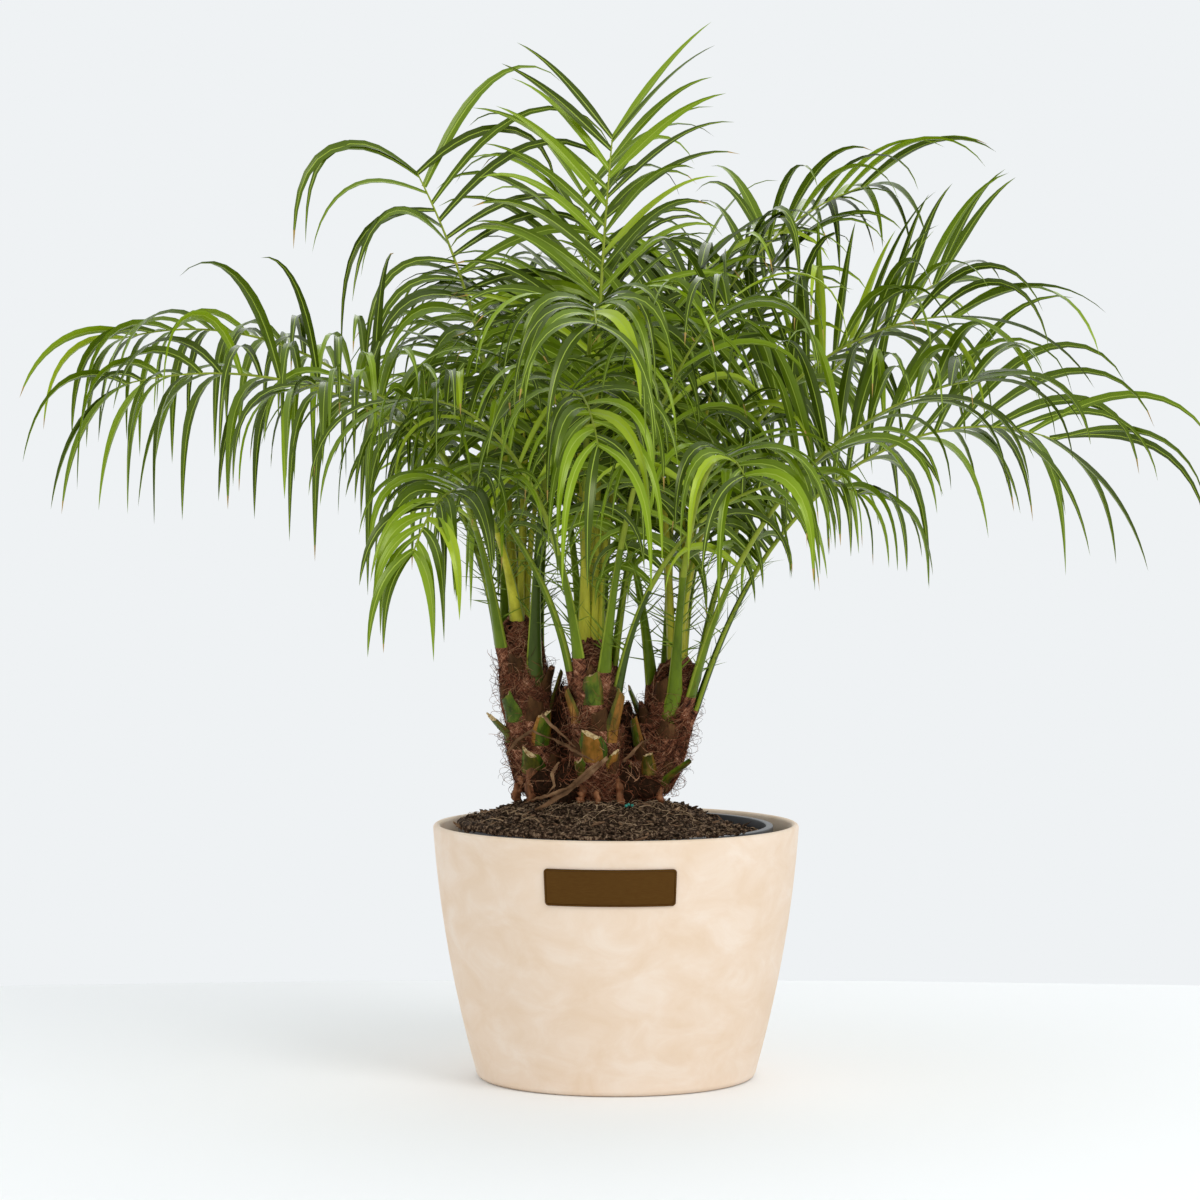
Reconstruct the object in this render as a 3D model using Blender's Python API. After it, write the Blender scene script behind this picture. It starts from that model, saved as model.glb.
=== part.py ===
"""Potted pygmy date palm: three short trunks from one root clump, twenty-eight arching fronds,
a nursery pot with its root ball, and a tapered planter with a small blank name plate.

Metres, +Z up. The origin is the centre of the planter's flat underside. Seen from the front
(along +Y) the plate faces the viewer. Headings are compass angles seen from above, in degrees
from +X (right) towards +Y (back).
"""

import math
import random
from dataclasses import dataclass

import bmesh
import bpy
import numpy as np
from mathutils import Matrix, Vector
from mathutils.bvhtree import BVHTree

# Planter: a moulded composite tub with a convex taper and a rounded lip
PLANTER_HEIGHT = 0.208
PLANTER_RIM_RADIUS = 0.150
PLANTER_FOOT_RADIUS = 0.1135
PLANTER_BULGE = 0.62          # share of the taper that comes late, near the foot
PLANTER_WALL = 0.006
PLANTER_FLOOR = 0.008
PLANTER_FOOT_ROUND = 0.006
PLANTER_SIDES = 48
WALL_RINGS = 5

# Name plate: a thin bronze strip that follows the wall below the rim
PLATE_WIDTH = 0.1055
PLATE_HEIGHT = 0.0295
PLATE_THICKNESS = 0.0016
PLATE_CORNER = 0.003
PLATE_CENTRE_Z = 0.1707
PLATE_CENTRE_X = -0.0053

# Nursery pot: the thin black growing pot that stands inside the planter
NURSERY_RIM_RADIUS = 0.129
NURSERY_FOOT_RADIUS = 0.099
NURSERY_TOP = 0.2068
NURSERY_WALL = 0.0016
NURSERY_LIP_WIDTH = 0.0045
NURSERY_LIP_DEPTH = 0.010
NURSERY_LIP_SLOPE = 0.001     # height over which the lip folds out
NURSERY_LIP_EDGE = 0.0008     # bevel of its outer top edge

# Root ball: potting mix that fills the nursery pot and rises to a mound under the clump
MOUND_TOP = 0.229
MOUND_CENTRE_X = -0.018
MOUND_FLAT = (0.060, 0.038)   # half width and half depth of the level top
MOUND_SHOULDER = 0.06         # how far the slopes bend towards level at their ends
SOIL_EDGE_Z = (0.1975, 0.2140)  # lowest at the back right, highest at the front left
SOIL_HIGH_SIDE = 215          # heading of the highest part of the edge, degrees
SOIL_SEGMENTS = 36
SOIL_RINGS = 5
SOIL_ROUGHNESS = 0.0022

# Gap between pieces that stand against each other
GAP = 0.0003

# Trunks
TRUNK_SIDES = 14
TRUNK_RINGS = 9
FOOT_SHARE = 0.30             # a trunk is drawn in at the soil over this share of its height
EARLY_LEAN = 0.6              # below 1 a trunk leans out most near the soil
CROWN_TAPER = 3.2             # above 1 a trunk narrows mostly under its crown
TRUNK_UNEVEN = (0.97, 1.0)    # spread of a trunk's radius

# Leaf bases: what is left on the trunk of each frond, living or cut
BOOT_OUTLINE = ((-0.5, 0.10), (-0.275, 0.55), (0.275, 0.55), (0.5, 0.10), (0.3, -0.45), (-0.3, -0.45))
BOOT_WIDTH = 0.0120
BOOT_THICKNESS = 0.0068
BOOT_LENGTH = 0.034
BOOT_KNEE = 0.008             # a living base turns to its petiole's lean this far below it
BOOT_KNEE_SHARE = 0.72
BOOT_ROOT_DEPTH = 0.45        # where a living base starts, as a share of the trunk's radius
BOOT_ROOT_LOWEST = 0.05       # and the lowest share of the trunk's height
BOOT_ROOT_SIZE = (0.8, 0.9)   # width and thickness there, as shares of the full ones
BOOT_END_SIZE = (1.12, 1.1)   # and at its end, as shares of the petiole's
STUB_ROOT_DEPTH = 0.62        # where a cut base starts, as a share of the trunk's radius
STUB_KNEE_SHARE = 0.45
STUB_KNEE_LEAN = 0.6
STUB_SIZES = ((1.12, 0.50), (1.04, 0.48), (0.86, 0.40))  # as shares of its width: root, knee, cut
CROWN_RISE = 0.004            # the innermost fronds start this far above the trunk's tip
CROWN_SEAT = 0.6              # and this share of its radius from its centre
SEAT_DEPTH = 0.75             # other petioles stand off the trunk by this share of their depth

# Fronds
LEAFLET_PITCH = 0.0190        # along the rib from one leaflet to the next, sides taking turns
PETIOLE_SEGMENTS = 5
PETIOLE_WIDTH = (0.0105, 0.0052)
PETIOLE_DEPTH = (0.0062, 0.0042)
PETIOLE_NARROWING = 0.6       # below 1 a petiole narrows most near its base
RIB_UPPER = 0.35              # share of a rib's depth above its middle line
RIB_TIP_WIDTH = 0.0024
RIB_TIP_DEPTH = 0.0022
RIB_STEPS = 120
LEAFLET_WIDTH = 0.0100
LEAFLET_THICKNESS = 0.0018
LEAFLET_STEPS = 4
SAG_STEPS = 4                 # steps of a leaflet's sag within each of its own
LEAFLET_FULL = 0.6            # a leaflet narrows beyond this share of its length
LEAFLET_NARROW = 0.70
LEAFLET_KEEL = 0.35           # share of its thickness above its middle line
REACH_START = 0.55            # length of the first leaflets as a share of the longest
REACH_GROWTH = 1.6            # how fast they lengthen along the rib
REACH_FALL = 0.20             # how much shorter the last ones are
REACH_FALL_FROM = 0.3         # from which share of the rib they shorten
SPLAY_AT_BASE = 68.0          # angle between rib and leaflet, degrees
SPLAY_AT_TIP = 38.0
SPLAY_LIMIT = 84.0
LIFT_AT_BASE = 42.0           # how far leaflets rise above the rib's own plane, degrees
LIFT_AT_TIP = 26.0
ANGLE_SPREAD = 8.0            # how far a leaflet's angles vary, degrees
LENGTH_SPREAD = (0.92, 1.0)
LIMP_SPREAD = (0.75, 1.2)
CLEARANCE = 0.0006            # a leaflet is tested this much larger
ROOT_SHARE = 0.2              # of a leaflet's first stretch that may stay near its own rib
TRIES = 12
SEED = 11


@dataclass(frozen=True)
class Trunk:
    """One of the clump's stems, from its flat cut at the soil to its tip."""
    foot: tuple
    tip: tuple
    foot_radius: float
    body_radius: float
    tip_radius: float


@dataclass(frozen=True)
class Frond:
    """How a rib leaves its stem, arches and droops, and how its leaflets hang."""
    stem: str
    drop: float               # how far below the stem's tip it leaves
    heading: float
    rise: float               # lean from the vertical at its base, degrees
    arch: float               # lean gained by its tip, degrees
    length: float             # rib, from its base to its last leaflet
    bend: float = 1.3         # how late the arch comes
    leaf: float = 0.17        # longest leaflet
    limp: float = 120.0       # how far a leaflet sags, degrees
    late: float = 1.0         # how far along a leaflet the sag comes
    splay: float = 1.0        # how wide the leaflets open
    petiole: float = 0.29     # share of the rib that carries no leaflets
    turn: float = 0.0         # how far round the stem it is seated from its own heading
    roll: float = 0.0         # how far the rib turns about itself, degrees
    firm: float = 0.0         # how much straighter the leaflets near its tip keep


@dataclass(frozen=True)
class Stub:
    """A cut leaf base: where it stands on its stem, how it leans, and its size."""
    stem: str
    height: float             # above the soil
    heading: float
    lean: float
    length: float
    width: float


TRUNKS = {
    "left": Trunk((-0.056, 0.010), (-0.080, 0.016, 0.370), 0.0165, 0.0195, 0.0118),
    "middle": Trunk((-0.014, -0.012), (-0.020, -0.018, 0.356), 0.0155, 0.0178, 0.0108),
    "right": Trunk((0.018, 0.006), (0.051, 0.011, 0.338), 0.0175, 0.0195, 0.0115),
}

# Youngest and most upright first on each stem; the last of two stems fill the crown's back
FRONDS = (
    Frond("left", 0.000, 150, 4, 27, 0.385, bend=1.5, leaf=0.235, limp=175, late=1.1, splay=1.65,
          turn=-50, roll=-32),
    Frond("left", 0.028, 280, 5, 128, 0.44, leaf=0.17, limp=170, late=0.8, turn=20),
    Frond("left", 0.014, 100, 9, 68, 0.35, leaf=0.17, limp=150, late=1.0, turn=30, roll=-15),
    Frond("left", 0.016, 171, 8, 97, 0.46, bend=1.2, leaf=0.165, limp=260, late=0.35, splay=1.1, roll=14,
          firm=0.5),
    Frond("left", 0.018, 230, 12, 94, 0.36, bend=1.5, leaf=0.15, limp=170, late=0.6, turn=-18, roll=4),
    Frond("left", 0.028, 78, 10, 60, 0.42, leaf=0.17, limp=110, late=1.4, turn=-24),
    Frond("left", 0.000, 256, 26, 104, 0.35, bend=1.0, leaf=0.13, limp=160, late=0.8, splay=0.75, turn=4),
    Frond("left", 0.050, 100, 17, 80, 0.42, bend=1.2, leaf=0.16, limp=130, late=1.2, turn=-7),
    Frond("middle", 0.000, 75, 2, 18, 0.418, bend=1.5, leaf=0.155, limp=60, late=1.4, splay=1.15, turn=15,
          roll=8, firm=0.5),
    Frond("middle", 0.000, 48, 4, 62, 0.35, bend=2.0, leaf=0.17, limp=100, late=1.4, turn=-78),
    Frond("middle", 0.000, 272, 6, 108, 0.44, bend=1.5, leaf=0.17, limp=180, late=0.7, turn=-62),
    Frond("middle", 0.018, 20, 8, 66, 0.48, bend=2.0, leaf=0.17, limp=180, late=0.7, turn=-5, roll=-22,
          firm=0.5),
    Frond("middle", 0.022, 238, 12, 84, 0.36, leaf=0.155, limp=170, late=0.8, roll=20),
    Frond("middle", 0.024, 108, 10, 66, 0.42, leaf=0.17, limp=120, late=1.3, turn=7),
    Frond("middle", 0.022, 194, 11, 93, 0.48, bend=1.0, leaf=0.19, limp=230, late=0.3, splay=1.3,
          turn=-14, roll=30, firm=0.25),
    Frond("middle", 0.022, 298, 11, 54, 0.37, leaf=0.17, limp=160, late=0.8, turn=4),
    Frond("middle", 0.040, 326, 12, 98, 0.32, leaf=0.14, limp=170, late=0.8, turn=22, roll=-15),
    Frond("middle", 0.040, 85, 16, 80, 0.42, bend=1.2, leaf=0.16, limp=130, late=1.2, turn=-15),
    Frond("middle", 0.016, 96, 5, 34, 0.42, leaf=0.18, limp=120, late=1.4, turn=-28),
    Frond("right", 0.000, 50, 8, 30, 0.36, leaf=0.18, limp=90, late=1.3, turn=35),
    Frond("right", 0.000, 343, 6, 84, 0.40, bend=1.45, leaf=0.195, limp=190, late=0.6, turn=-73, roll=-30,
          firm=0.5),
    Frond("right", 0.012, 15, 10, 50, 0.40, bend=1.2, leaf=0.16, limp=50, late=1.6, roll=-35),
    Frond("right", 0.018, 120, 12, 60, 0.42, leaf=0.17, limp=120, late=1.3, turn=36),
    Frond("right", 0.026, 325, 16, 66, 0.39, bend=1.2, leaf=0.175, limp=150, late=0.9, turn=-6, roll=-20,
          firm=0.3),
    Frond("right", 0.028, 72, 16, 76, 0.44, bend=1.2, leaf=0.16, limp=130, late=1.2),
    Frond("right", 0.038, 8, 19, 92, 0.42, bend=1.6, leaf=0.215, limp=140, late=1.0, turn=-21, roll=-35,
          firm=0.35),
    Frond("right", 0.022, 281, 12, 104, 0.36, bend=1.4, leaf=0.17, limp=170, late=0.7, turn=-8),
    Frond("right", 0.012, 82, 7, 34, 0.36, leaf=0.18, limp=120, late=1.4, turn=28),
)

STUBS = (
    Stub("left", 0.062, 226, 24, 0.022, 0.018),
    Stub("left", 0.045, 196, 44, 0.025, 0.015),
    Stub("left", 0.043, 290, 20, 0.027, 0.016),
    Stub("left", 0.020, 256, 28, 0.018, 0.019),
    Stub("left", 0.068, 345, 16, 0.036, 0.011),
    Stub("left", 0.012, 150, 30, 0.024, 0.017),
    Stub("left", 0.050, 110, 28, 0.028, 0.017),
    Stub("left", 0.022, 55, 28, 0.026, 0.017),
    Stub("middle", 0.078, 268, 18, 0.026, 0.017),
    Stub("middle", 0.062, 214, 22, 0.028, 0.012),
    Stub("middle", 0.032, 262, 28, 0.024, 0.023),
    Stub("middle", 0.047, 318, 18, 0.042, 0.015),
    Stub("middle", 0.018, 234, 30, 0.016, 0.014),
    Stub("middle", 0.022, 308, 24, 0.018, 0.011),
    Stub("middle", 0.052, 96, 26, 0.034, 0.018),
    Stub("right", 0.056, 166, 22, 0.034, 0.011),
    Stub("right", 0.034, 218, 12, 0.031, 0.013),
    Stub("right", 0.019, 262, 24, 0.018, 0.012),
    Stub("right", 0.005, 236, 16, 0.022, 0.011),
    Stub("right", 0.005, 322, 56, 0.040, 0.012),
    Stub("right", 0.048, 30, 28, 0.030, 0.017),
    Stub("right", 0.020, 84, 30, 0.028, 0.017),
    Stub("right", 0.060, 110, 24, 0.030, 0.015),
)


def clear_scene():
    """Remove every object of the startup scene."""
    for item in list(bpy.data.objects):
        bpy.data.objects.remove(item, do_unlink=True)


def make_material(name, colour, roughness, metallic=0.0):
    """A plain Principled material; colour is linear RGB."""
    material = bpy.data.materials.new(name)
    material.use_nodes = True
    shader = material.node_tree.nodes["Principled BSDF"]
    shader.inputs["Base Color"].default_value = (*colour, 1.0)
    shader.inputs["Roughness"].default_value = roughness
    shader.inputs["Metallic"].default_value = metallic
    material.diffuse_color = (*colour, 1.0)
    return material


def add_object(name, mesh_builder, material, smooth_angle=None):
    """Turn a bmesh into a named object with its faces pointing out."""
    bmesh.ops.recalc_face_normals(mesh_builder, faces=mesh_builder.faces)
    mesh = bpy.data.meshes.new(name)
    mesh_builder.to_mesh(mesh)
    mesh_builder.free()
    mesh.materials.append(material)
    if smooth_angle is not None:
        mesh.shade_smooth()
        mesh.set_sharp_from_angle(angle=math.radians(smooth_angle))
    item = bpy.data.objects.new(name, mesh)
    bpy.context.scene.collection.objects.link(item)
    return item


def lathe(profile, sides):
    """Turn a closed (radius, height) outline round +Z; points on the axis become poles."""
    shape = bmesh.new()
    rings = []
    for radius, height in profile:
        if radius == 0.0:
            rings.append([shape.verts.new((0.0, 0.0, height))])
            continue
        ring = []
        for step in range(sides):
            turn = 2 * math.pi * step / sides
            ring.append(shape.verts.new((radius * math.cos(turn), radius * math.sin(turn), height)))
        rings.append(ring)
    for lower, upper in zip(rings, rings[1:]):
        join_rings(shape, lower, upper)
    return shape


def join_rings(shape, first, second):
    """Bridge two closed rings of equal count, or a ring and a pole."""
    sides = max(len(first), len(second))
    for step in range(sides):
        following = (step + 1) % sides
        if len(first) == 1:
            shape.faces.new((first[0], second[following], second[step]))
        elif len(second) == 1:
            shape.faces.new((first[step], first[following], second[0]))
        else:
            shape.faces.new((first[step], first[following], second[following], second[step]))


def planter_radius(height):
    """Outer radius of the planter's wall at a height."""
    fall = 1.0 - height / PLANTER_HEIGHT
    taper = (1.0 - PLANTER_BULGE) * fall + PLANTER_BULGE * fall * fall
    return PLANTER_RIM_RADIUS - (PLANTER_RIM_RADIUS - PLANTER_FOOT_RADIUS) * taper


def arc(centre, radius, start, end, steps):
    """Points of a circular arc in the (radius, height) plane; angles in degrees."""
    points = []
    for step in range(steps + 1):
        angle = math.radians(start + (end - start) * step / steps)
        points.append((centre[0] + radius * math.cos(angle), centre[1] + radius * math.sin(angle)))
    return points


def build_planter(material):
    """A turned tub: flat underside, rounded foot, convex wall, full-round lip, level floor."""
    foot = PLANTER_FOOT_ROUND
    profile = [(0.0, 0.0)]
    foot_centre = (planter_radius(foot) - foot, foot)
    profile += arc(foot_centre, foot, -90, 0, 3)
    lip = PLANTER_WALL / 2
    lip_base = PLANTER_HEIGHT - lip
    for ring in range(1, WALL_RINGS):
        height = foot + (lip_base - foot) * ring / WALL_RINGS
        profile.append((planter_radius(height), height))
    profile += arc((planter_radius(lip_base) - lip, lip_base), lip, 0, 180, 4)
    for ring in range(WALL_RINGS - 1, 0, -1):
        height = PLANTER_FLOOR + (lip_base - PLANTER_FLOOR) * ring / WALL_RINGS
        profile.append((planter_radius(height) - PLANTER_WALL, height))
    profile.append((planter_radius(PLANTER_FLOOR) - PLANTER_WALL, PLANTER_FLOOR))
    profile.append((0.0, PLANTER_FLOOR))
    return add_object("planter", lathe(profile, PLANTER_SIDES), material, smooth_angle=40)


def plate_point(along, height, lift):
    """A point on the planter's front wall: arc length from the plate's centre, height, stand-off."""
    # the wall has flat sides that lie inside its circle, so the stand-off starts from the circle
    centre = -math.pi / 2 + PLATE_CENTRE_X / planter_radius(PLATE_CENTRE_Z)
    turn = centre + along / planter_radius(PLATE_CENTRE_Z)
    radius = planter_radius(height) + lift
    return (radius * math.cos(turn), radius * math.sin(turn), height)


def build_plate(material):
    """A blank plate with rounded corners, bent round the wall, 0.3 mm off it."""
    flat_half = PLATE_WIDTH / 2 - PLATE_CORNER
    corner = [(math.cos(math.radians(a)), math.sin(math.radians(a))) for a in (0, 22.5, 45, 67.5, 90)]
    columns = [(-flat_half - PLATE_CORNER * c, PLATE_CORNER * s) for c, s in corner]
    spans = 12
    for step in range(1, spans):
        columns.append((-flat_half + 2 * flat_half * step / spans, PLATE_CORNER))
    columns += [(flat_half + PLATE_CORNER * c, PLATE_CORNER * s) for c, s in reversed(corner)]
    shape = bmesh.new()
    rings = []
    for along, rounding in columns:
        half = PLATE_HEIGHT / 2 - PLATE_CORNER + rounding
        ring = []
        for lift, heights in ((GAP, (-half, 0.0, half)), (GAP + PLATE_THICKNESS, (half, 0.0, -half))):
            for height in heights:
                ring.append(shape.verts.new(plate_point(along, PLATE_CENTRE_Z + height, lift)))
        rings.append(ring)
    for first, second in zip(rings, rings[1:]):
        join_rings(shape, first, second)
    shape.faces.new(rings[0])
    shape.faces.new(rings[-1])
    return add_object("name_plate", shape, material, smooth_angle=30)


def nursery_radius(height):
    """Outer radius of the nursery pot's straight wall at a height."""
    base = PLANTER_FLOOR + GAP
    share = (height - base) / (NURSERY_TOP - base)
    return NURSERY_FOOT_RADIUS + (NURSERY_RIM_RADIUS - NURSERY_LIP_WIDTH - NURSERY_FOOT_RADIUS) * share


def build_nursery_pot(material):
    """A thin tapered pot with a folded-out lip, open at the top."""
    base = PLANTER_FLOOR + GAP
    lip_foot = NURSERY_TOP - NURSERY_LIP_DEPTH
    profile = [
        (0.0, base),
        (nursery_radius(base), base),
        (nursery_radius(lip_foot), lip_foot),
        (NURSERY_RIM_RADIUS, lip_foot + NURSERY_LIP_SLOPE),
        (NURSERY_RIM_RADIUS, NURSERY_TOP - NURSERY_LIP_EDGE),
        (NURSERY_RIM_RADIUS - NURSERY_LIP_EDGE, NURSERY_TOP),
        (nursery_radius(NURSERY_TOP) - NURSERY_WALL, NURSERY_TOP),
        (nursery_radius(base) - NURSERY_WALL, base + NURSERY_WALL),
        (0.0, base + NURSERY_WALL),
    ]
    return add_object("nursery_pot", lathe(profile, PLANTER_SIDES), material, smooth_angle=40)


def build_root_ball(material):
    """Potting mix: a tapered plug with a level top under the clump and uneven slopes."""
    rng = random.Random(SEED)
    base = PLANTER_FLOOR + GAP + NURSERY_WALL + GAP
    # the nursery pot's wall has flat sides, so the mix keeps inside their inscribed circle
    inside = math.cos(math.pi / PLANTER_SIDES)
    edge = (nursery_radius(SOIL_EDGE_Z[0]) - NURSERY_WALL) * inside - GAP
    foot = (nursery_radius(base) - NURSERY_WALL) * inside - GAP
    shape = bmesh.new()
    rings = []
    for ring in range(SOIL_RINGS + 1):
        share = ring / SOIL_RINGS
        slope = share - MOUND_SHOULDER * math.sin(2 * math.pi * share)
        points = []
        for step in range(SOIL_SEGMENTS):
            turn = 2 * math.pi * step / SOIL_SEGMENTS
            inner = Vector((MOUND_CENTRE_X + MOUND_FLAT[0] * math.cos(turn),
                            MOUND_FLAT[1] * math.sin(turn), MOUND_TOP))
            high = 0.5 + 0.5 * math.cos(turn - math.radians(SOIL_HIGH_SIDE))
            edge_z = SOIL_EDGE_Z[0] + (SOIL_EDGE_Z[1] - SOIL_EDGE_Z[0]) * high
            outer = Vector((edge * math.cos(turn), edge * math.sin(turn), edge_z))
            point = inner.lerp(outer, share)
            point.z = MOUND_TOP + (edge_z - MOUND_TOP) * slope
            if 0 < ring < SOIL_RINGS:
                point.z += rng.uniform(-SOIL_ROUGHNESS, SOIL_ROUGHNESS)
            points.append(shape.verts.new(point))
        rings.append(points)
    bottom = []
    for step in range(SOIL_SEGMENTS):
        turn = 2 * math.pi * step / SOIL_SEGMENTS
        bottom.append(shape.verts.new((foot * math.cos(turn), foot * math.sin(turn), base)))
    rings.append(bottom)
    for first, second in zip(rings, rings[1:]):
        join_rings(shape, first, second)
    top_centre = shape.verts.new((MOUND_CENTRE_X, 0.0, MOUND_TOP))
    join_rings(shape, [top_centre], rings[0])
    bottom_centre = shape.verts.new((0.0, 0.0, base))
    join_rings(shape, rings[-1], [bottom_centre])
    return add_object("soil", shape, material, smooth_angle=50)


def trunk_axis(trunk, share):
    """A point on the trunk's centre line; share runs from 0 at the soil to 1 at the tip."""
    foot = Vector((*trunk.foot, MOUND_TOP + GAP))
    point = foot.lerp(Vector(trunk.tip), share ** EARLY_LEAN)
    point.z = foot.z + trunk_height(trunk) * share
    return point


def trunk_radius(trunk, share):
    """Trunk radius: drawn in at the soil, a full body, and a quick taper under the crown."""
    body = trunk.tip_radius + (trunk.body_radius - trunk.tip_radius) * (1.0 - share ** CROWN_TAPER)
    foot = max(0.0, 1.0 - share / FOOT_SHARE)
    return body + (trunk.foot_radius - trunk.body_radius) * foot * foot


def trunk_height(trunk):
    """Length of a trunk above the soil."""
    return trunk.tip[2] - MOUND_TOP - GAP


def direction(lean, heading):
    """Unit vector that leans from the vertical towards a heading; degrees."""
    tilt = math.radians(lean)
    turn = math.radians(heading)
    return Vector((math.sin(tilt) * math.cos(turn), math.sin(tilt) * math.sin(turn), math.cos(tilt)))


def sideways(heading):
    """Level unit vector at right angles to a heading."""
    turn = math.radians(heading)
    return Vector((-math.sin(turn), math.cos(turn), 0.0))


def frond_base(frond):
    """Centre of a petiole's lowest section, just clear of its leaf base."""
    trunk = TRUNKS[frond.stem]
    share = 1.0 - frond.drop / trunk_height(trunk)
    seat = direction(90, frond.heading + frond.turn)
    if frond.drop == 0.0:
        inside = seat * (trunk.tip_radius * CROWN_SEAT)
        return trunk_axis(trunk, 1.0) + inside + Vector((0.0, 0.0, CROWN_RISE))
    return trunk_axis(trunk, share) + seat * (trunk_radius(trunk, share) + PETIOLE_DEPTH[0] * SEAT_DEPTH)


def boot_section(shape, centre, across, outward, width, thickness):
    """A flat six-sided section of a leaf base, its round back facing outward."""
    return [shape.verts.new(centre + across * (x * width) + outward * (y * thickness))
            for x, y in BOOT_OUTLINE]


def build_boot(stations):
    """A closed leaf base through (centre, along, heading, width, thickness) stations."""
    shape = bmesh.new()
    rings = []
    for centre, along, heading, width, thickness in stations:
        across = sideways(heading)
        outward = along.cross(across)
        if outward.dot(direction(90, heading)) < 0:
            outward = -outward
        rings.append(boot_section(shape, centre, across, outward, width, thickness))
    for first, second in zip(rings, rings[1:]):
        join_rings(shape, first, second)
    shape.faces.new(rings[0])
    shape.faces.new(rings[-1])
    return shape


def living_boot(frond):
    """The leaf base that carries a living frond, ending 0.3 mm below its petiole."""
    trunk = TRUNKS[frond.stem]
    along = direction(frond.rise, frond.heading)
    end = frond_base(frond) - along * GAP
    height = trunk_height(trunk)
    root_share = max(BOOT_ROOT_LOWEST, 1.0 - (frond.drop + BOOT_LENGTH) / height)
    seat = direction(90, frond.heading + frond.turn)
    root = trunk_axis(trunk, root_share) + seat * trunk_radius(trunk, root_share) * BOOT_ROOT_DEPTH
    middle = root.lerp(end - along * BOOT_KNEE, BOOT_KNEE_SHARE)
    slant = (end - root).normalized()
    return build_boot((
        (root, slant, frond.heading, BOOT_WIDTH * BOOT_ROOT_SIZE[0], BOOT_THICKNESS * BOOT_ROOT_SIZE[1]),
        (middle, slant, frond.heading, BOOT_WIDTH, BOOT_THICKNESS),
        (end, along, frond.heading, PETIOLE_WIDTH[0] * BOOT_END_SIZE[0],
         PETIOLE_DEPTH[0] * BOOT_END_SIZE[1]),
    ))


def cut_boot(stub):
    """A cut leaf base that stands out of the trunk and ends in a flat cut."""
    trunk = TRUNKS[stub.stem]
    share = stub.height / trunk_height(trunk)
    along = direction(stub.lean, stub.heading)
    out = direction(90, stub.heading)
    root = trunk_axis(trunk, share) + out * trunk_radius(trunk, share) * STUB_ROOT_DEPTH
    knee = root + direction(stub.lean * STUB_KNEE_LEAN, stub.heading) * stub.length * STUB_KNEE_SHARE
    end = knee + along * stub.length * (1.0 - STUB_KNEE_SHARE)
    return build_boot([(place, along, stub.heading, stub.width * wide, stub.width * thick)
                       for place, (wide, thick) in zip((root, knee, end), STUB_SIZES)])


def build_trunk(name, material):
    """One stem: a tapered trunk with its leaf bases joined on by a Boolean union."""
    trunk = TRUNKS[name]
    rng = random.Random(SEED + len(name))
    shape = bmesh.new()
    rings = []
    for level in range(TRUNK_RINGS + 1):
        share = level / TRUNK_RINGS
        centre = trunk_axis(trunk, share)
        ring = []
        for step in range(TRUNK_SIDES):
            turn = 2 * math.pi * step / TRUNK_SIDES
            radius = trunk_radius(trunk, share) * rng.uniform(*TRUNK_UNEVEN)
            ring.append(shape.verts.new(centre + Vector((math.cos(turn), math.sin(turn), 0)) * radius))
        rings.append(ring)
    for lower, upper in zip(rings, rings[1:]):
        join_rings(shape, lower, upper)
    shape.faces.new(rings[0])
    shape.faces.new(rings[-1])
    item = add_object("stem_" + name, shape, material, smooth_angle=35)

    bases = bpy.data.collections.new("leaf_bases_" + name)
    bpy.context.scene.collection.children.link(bases)
    shapes = [living_boot(frond) for frond in FRONDS if frond.stem == name]
    shapes += [cut_boot(stub) for stub in STUBS if stub.stem == name]
    for number, boot in enumerate(shapes):
        base = add_object(f"leaf_base_{name}_{number}", boot, material)
        bpy.context.scene.collection.objects.unlink(base)
        bases.objects.link(base)
    union = item.modifiers.new("leaf_bases", "BOOLEAN")
    union.operation = "UNION"
    union.operand_type = "COLLECTION"
    union.collection = bases
    union.solver = "EXACT"
    union.use_self = True
    joined = bpy.data.meshes.new_from_object(item.evaluated_get(bpy.context.evaluated_depsgraph_get()))
    item.modifiers.clear()
    item.data = joined
    trim_below(item, MOUND_TOP + GAP)
    for base in list(bases.objects):
        bpy.data.objects.remove(base, do_unlink=True)
    bpy.data.collections.remove(bases)
    return item


def trim_below(item, level):
    """Keep the flat cut at the soil: nothing of a leaf base reaches below it."""
    shape = bmesh.new()
    shape.from_mesh(item.data)
    for vertex in shape.verts:
        vertex.co.z = max(vertex.co.z, level)
    shape.to_mesh(item.data)
    shape.free()


def rib_path(frond, segments, start_share=0.0):
    """Stations along a rib: point, tangent, side and upper direction at each."""
    point = frond_base(frond)
    level = sideways(frond.heading)
    stations = []
    for step in range(RIB_STEPS + 1):
        along = step / RIB_STEPS
        tangent = direction(frond.rise + frond.arch * along ** frond.bend, frond.heading)
        # the roll comes in over twice the petiole's length
        roll = frond.roll * min(1.0, along / (2 * frond.petiole))
        across = Matrix.Rotation(math.radians(roll), 3, tangent) @ level
        upper = tangent.cross(across).normalized()
        stations.append((point.copy(), tangent, across, upper))
        point = point + tangent * (frond.length / RIB_STEPS)
    picked = []
    for step in range(segments + 1):
        share = start_share + (1.0 - start_share) * step / segments
        picked.append(stations[round(share * RIB_STEPS)])
    return picked


def leafy_segments(frond):
    """Number of rib segments that carry a leaflet."""
    return round(frond.length * (1.0 - frond.petiole) / LEAFLET_PITCH)


def leaflet_reach(share):
    """Leaflet length along the frond as a share of the longest one."""
    growing = min(1.0, REACH_START + REACH_GROWTH * share)
    return growing * (1.0 - REACH_FALL * max(0.0, share - REACH_FALL_FROM) / (1.0 - REACH_FALL_FROM))


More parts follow.
